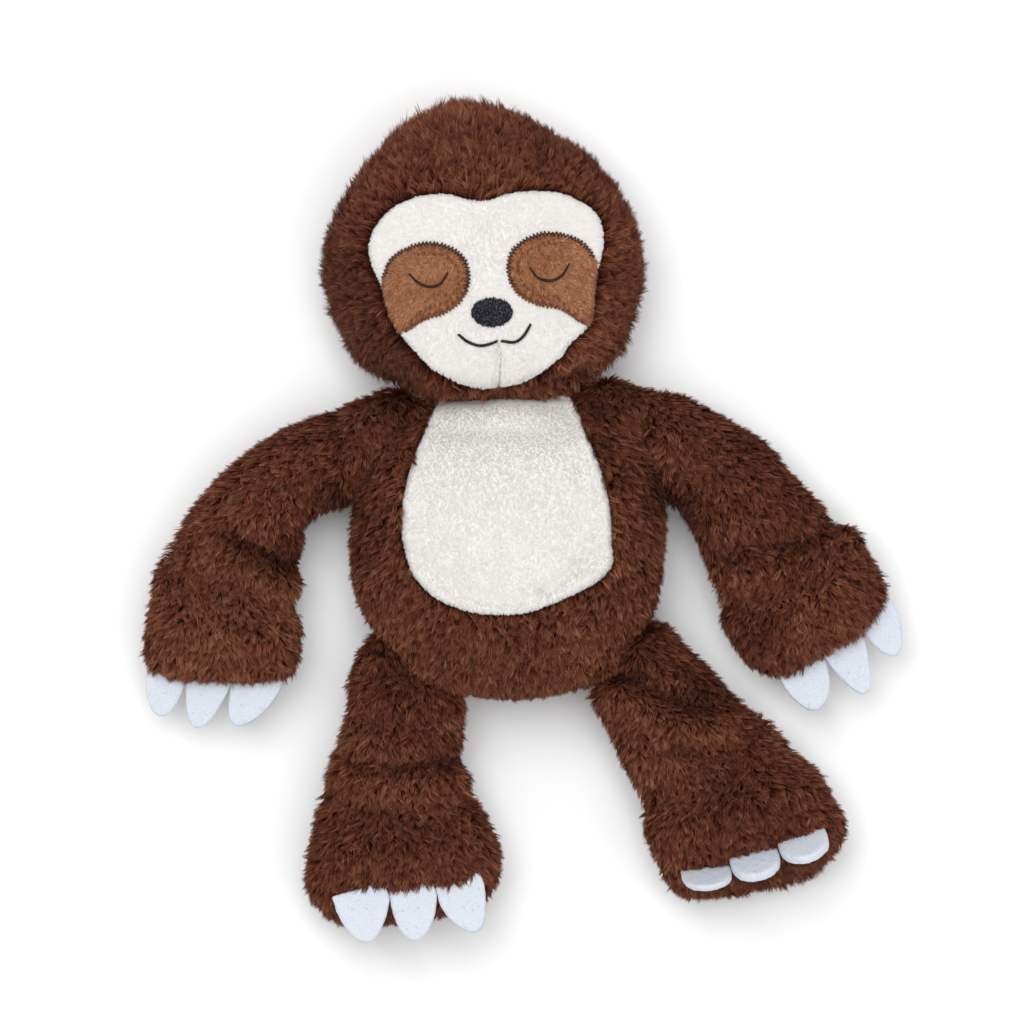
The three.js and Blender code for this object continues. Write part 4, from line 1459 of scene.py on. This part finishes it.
def short_looks(name, roots, order):
    """Tones and lengths of the short pile: less at stitch holes and in creases, where the lower
    tones are painted shade, and more at the chin
    """
    level, uneven = (0.5, 0.1) if name in HOLES else (0.7, 0.03)
    tones = level + uneven * waves(roots, 6 * MM, 30 + order)
    scales = np.ones(len(roots))
    if name == "face":
        low = roots[:, 1].min()
        scales += 0.7 * np.clip(1 - (roots[:, 1] - low) / (9 * MM), 0, 1)
    # Painted shade at the stitch holes
    if name in HOLES:
        away = np.array([HOLES[name].find((x, y, 0))[2] for x, y, _ in roots]) / (0.75 * MM)
        tones -= 0.8 * np.exp(-(away**2))
        scales -= 0.6 * np.exp(-(away**2))
    # Painted shade in the creases, darkest along the face's narrow dart
    for line, width, depth, _ in CREASES.get(name, []):
        away = distance_to(roots, trail(line)) / (width * 0.7 * MM)
        tones -= 0.22 * depth * np.exp(-(away**2))
        if width < 1:
            tones -= 0.4 * np.exp(-(away**2))
            scales -= 0.6 * np.exp(-(away**2))
    return tones, scales


class ShortPile(bpy.types.Operator):
    """Grows the short pile of the panels and the patches, longer over the chin's edge"""

    bl_idname = "sloth.short_pile"
    bl_label = "Short pile"

    def execute(self, context):
        settings = context.scene.sloth_panel
        pale = settings.white[:]
        white = short_pile("sheared_white_strands", settings.painted_crease_shade[:], pale, pale)
        shade, tone, light = settings.tan_shade[:], settings.tan[:], settings.tan_light[:]
        tan = short_pile("sheared_tan_strands", shade, tone, light)
        patches = [TREES["patch_left"], TREES["patch_right"]]
        jobs = (
            ("face", "head", "white_short_pile", white, face_flow, patches),
            ("belly", "torso", "white_short_pile", white, belly_flow, []),
            ("patch_left", "head", "tan_short_pile", tan, patch_flow("left"), []),
            ("patch_right", "head", "tan_short_pile", tan, patch_flow("right"), []),
        )
        for order, (name, body, slot, material, flow, covers) in enumerate(jobs):
            rng = np.random.default_rng(40 + order)
            roots, normals = sampled(PANELS[name], settings.density, rng)
            keep = normals[:, 2] > 0.1
            keep[keep] = kept(roots[keep], normals[keep], [], 0, covers)
            for i in np.flatnonzero(keep):
                place = seen_from_above(TREES[name], *roots[i, :2])
                keep[i] = place is not None and roots[i, 2] > place.z - 0.4 * MM
            roots, normals = roots[keep], normals[keep]
            if material == tan:
                form = {**TAN_FORM, "pile": settings.pile * 1.2}
            else:
                form = {**SHORT_FORM, "pile": settings.pile}
            tones, scales = short_looks(name, roots, order)
            made = strands(roots, normals, flow(roots), tones, scales, form, rng)
            piece = strand_object(f"{name}_pile", *made, material)
            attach(piece, body)
        return {"FINISHED"}


def long_looks(form, roots, normals, order):
    """Tones and lengths of the long pile: less in folds, where the lower tones are painted shade,
    and at limbs' rims, more at the head's; the table of painted light and shade lightens or darkens
    the tones
    """
    tones = 0.5 + 0.1 * waves(roots, 22 * MM, 90 + order)
    scales = np.ones(len(roots))
    # Painted shade in the folds, and painted light on the ridges beside them, where depth is
    # negative
    for line, width, depth in FOLDS[form]:
        near = np.exp(-((distance_to(roots, trail(line)) / (width * MM)) ** 2))
        tones -= 0.05 * depth * near
        scales -= 0.05 * max(0, depth) * near
    # Painted light and shade from the table
    for place, amount, reach in PAINTED_LIGHT_AND_SHADE.get(form, []):
        tones += amount * nearness(roots, place, reach)
    rim = np.clip(1 - normals[:, 2] * 2, 0, 1)
    if form != "head":
        return tones, scales - 0.15 * rim
    chin = np.clip((NECK.y + 1 * MM - roots[:, 1]) / (4 * MM), 0, 1)
    scales += 0.3 * rim
    scales += (0.7 + 0.35 * waves(roots, 3.5 * MM, 8)) * chin * (roots[:, 2] > 34 * MM)
    scales += 0.4 * nearness(roots, (-18, 104), 28)
    return tones, scales


class LongPile(bpy.types.Operator):
    """Grows the long pile on every skin, cuts the limbs' skins in two, and fastens those of the
    head and the torso to their bodies
    """

    bl_idname = "sloth.long_pile"
    bl_label = "Long pile"

    def execute(self, context):
        settings = context.scene.sloth_pile
        material = long_pile()
        panels = {"head": [TREES["face"]], "torso": [TREES["belly"]]}
        flows = {"head": head_flow, "torso": torso_flow, "neck": torso_flow}
        for order, (form, skin) in enumerate(SKINS.items()):
            rng = np.random.default_rng(100 + order)
            roots, normals = sampled(skin, settings.density, rng)
            # The under side, which hardly shows, has two strands in five
            keep = (normals[:, 2] > -0.35) | (rng.random(len(roots)) < 0.4)
            keep &= roots[:, 2] > 0.3 * MM
            others = [TREES[name] for name in SKINS if name != form]
            keep[keep] = kept(roots[keep], normals[keep], others, 1.2 * MM, panels.get(form, []))
            roots, normals = roots[keep], normals[keep]
            flow = flows.get(form) or limb_flow(form)
            shape = {
                **LONG_FORM, "pile": settings.pile, "width": settings.width, "lean": settings.lean,
                "in_clump": settings.density * (settings.clump / MM) ** 2, "seed": 70 + order,
            }
            ways = flow(roots, normals)
            tones, scales = long_looks(form, roots, normals, order)
            points, faces, uv = strands(roots, normals, ways, tones, scales, shape, rng)
            points[:, :, 2] = np.maximum(points[:, :, 2], FLOOR_GAP)
            bodies = [(form, skin, np.ones(len(roots), bool))]
            if form in LIMBS:
                plane = halfway(form)
                far = (roots - np.array(plane[0])) @ np.array(plane[1]) > 0
                bodies = [
                    (form, half_cut(skin, f"{form}_skin", False, plane), ~far),
                    (end_of(form), half_cut(skin, f"{end_of(form)}_skin", True, plane), far),
                ]
                bpy.data.objects.remove(skin)
            left = roots[:, 0] > NECK.x
            for body, under, chosen in bodies:
                under.name = f"{body}_skin"
                pieces = [under]
                halves = (("", chosen),)
                if chosen.sum() > MOST_STRANDS:
                    halves = (("right_", chosen & ~left), ("left_", chosen & left))
                for half, picked in halves:
                    name = f"{body}_{half}pile"
                    pieces.append(strand_object(name, points[picked], faces, uv[picked], material))
                for each in pieces:
                    settle(each, body)
                if body in PARTS:
                    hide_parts(*PARTS[body])
        return {"FINISHED"}


class Stage(bpy.types.Operator):
    """Paper floor, soft studio light from the crown's side, and the camera straight above"""

    bl_idname = "sloth.stage"
    bl_label = "Stage"

    def execute(self, context):
        settings = context.scene.sloth_stage
        bpy.ops.object.select_all(action="DESELECT")
        bpy.ops.mesh.primitive_plane_add(size=6, location=(0, 0, 0))
        floor = context.object
        floor.name = "paper_floor"
        finish = {"Roughness": 0.9, "Specular IOR Level": 0.1}
        material, _, shader = new_material("white_paper", finish)
        shader.inputs["Base Color"].default_value = settings.paper
        floor.data.materials.append(material)
        world = bpy.data.worlds.new("studio")
        context.scene.world = world
        world.use_nodes = True
        tree = world.node_tree
        paths = add_node(tree, "ShaderNodeLightPath")
        straight = add_node(
            tree, "ShaderNodeMath", {"operation": "MAXIMUM"},
            {0: paths.outputs["Is Camera Ray"], 1: paths.outputs["Is Glossy Ray"]},
        )
        levels = {"To Min": 0.62, "To Max": 1.0}
        level = add_node(tree, "ShaderNodeMapRange", levels, {"Value": straight.outputs[0]})
        background = tree.nodes["Background"].inputs
        tree.links.new(level.outputs[0], background["Strength"])
        background["Color"].default_value = grey(1)
        # Each lamp's place and width in metres, and its power in watts
        for name, place, power, size in (
            ("key", (-0.35, 0.6, 1.8), 19, 1.3),
            ("fill", (0.6, -0.4, 1.8), 9, 1.5),
        ):
            lamp = bpy.data.lights.new(name, "AREA")
            lamp.energy = power
            lamp.size = size
            light = bpy.data.objects.new(name, lamp)
            context.collection.objects.link(light)
            light.location = place
            light.rotation_euler = (-Vector(place)).to_track_quat("-Z", "Y").to_euler()
        data = bpy.data.cameras.new("camera")
        camera = bpy.data.objects.new("camera", data)
        context.collection.objects.link(camera)
        camera.location = spot(7.1, -54.3, 30) + UP * settings.distance  # over the toy's middle
        data.sensor_width = 36
        data.lens = data.sensor_width * settings.distance / settings.view
        data.clip_end = 20
        context.scene.camera = camera
        context.scene.view_settings.view_transform = "Standard"
        return {"FINISHED"}


class SlothPanel(bpy.types.Panel):
    """Lists the sizes, the colours and the steps"""

    bl_idname = "VIEW3D_PT_sloth"
    bl_label = "Plush sloth"
    bl_space_type = "VIEW_3D"
    bl_region_type = "UI"
    bl_category = "Sloth"

    def draw(self, context):
        for step in STEPS:
            self.layout.operator(step.bl_idname)
        for name, group in GROUPS.items():
            box = self.layout.box()
            box.label(text=group.__doc__)
            for key in group.__annotations__:
                box.prop(getattr(context.scene, name), key)


STEPS = (Stage, SewSkins, LayPanels, EyePatches, Embroidery, Claws, ShortPile, LongPile)
CLASSES = (*GROUPS.values(), *STEPS, SlothPanel)


def register():
    for each in CLASSES:
        bpy.utils.register_class(each)
    for name, group in GROUPS.items():
        setattr(bpy.types.Scene, name, bpy.props.PointerProperty(type=group))


def unregister():
    for name in GROUPS:
        delattr(bpy.types.Scene, name)
    for each in reversed(CLASSES):
        bpy.utils.unregister_class(each)


def main():
    register()
    for step in STEPS:
        space, name = step.bl_idname.split(".")
        getattr(getattr(bpy.ops, space), name)()


if __name__ == "__main__":
    main()
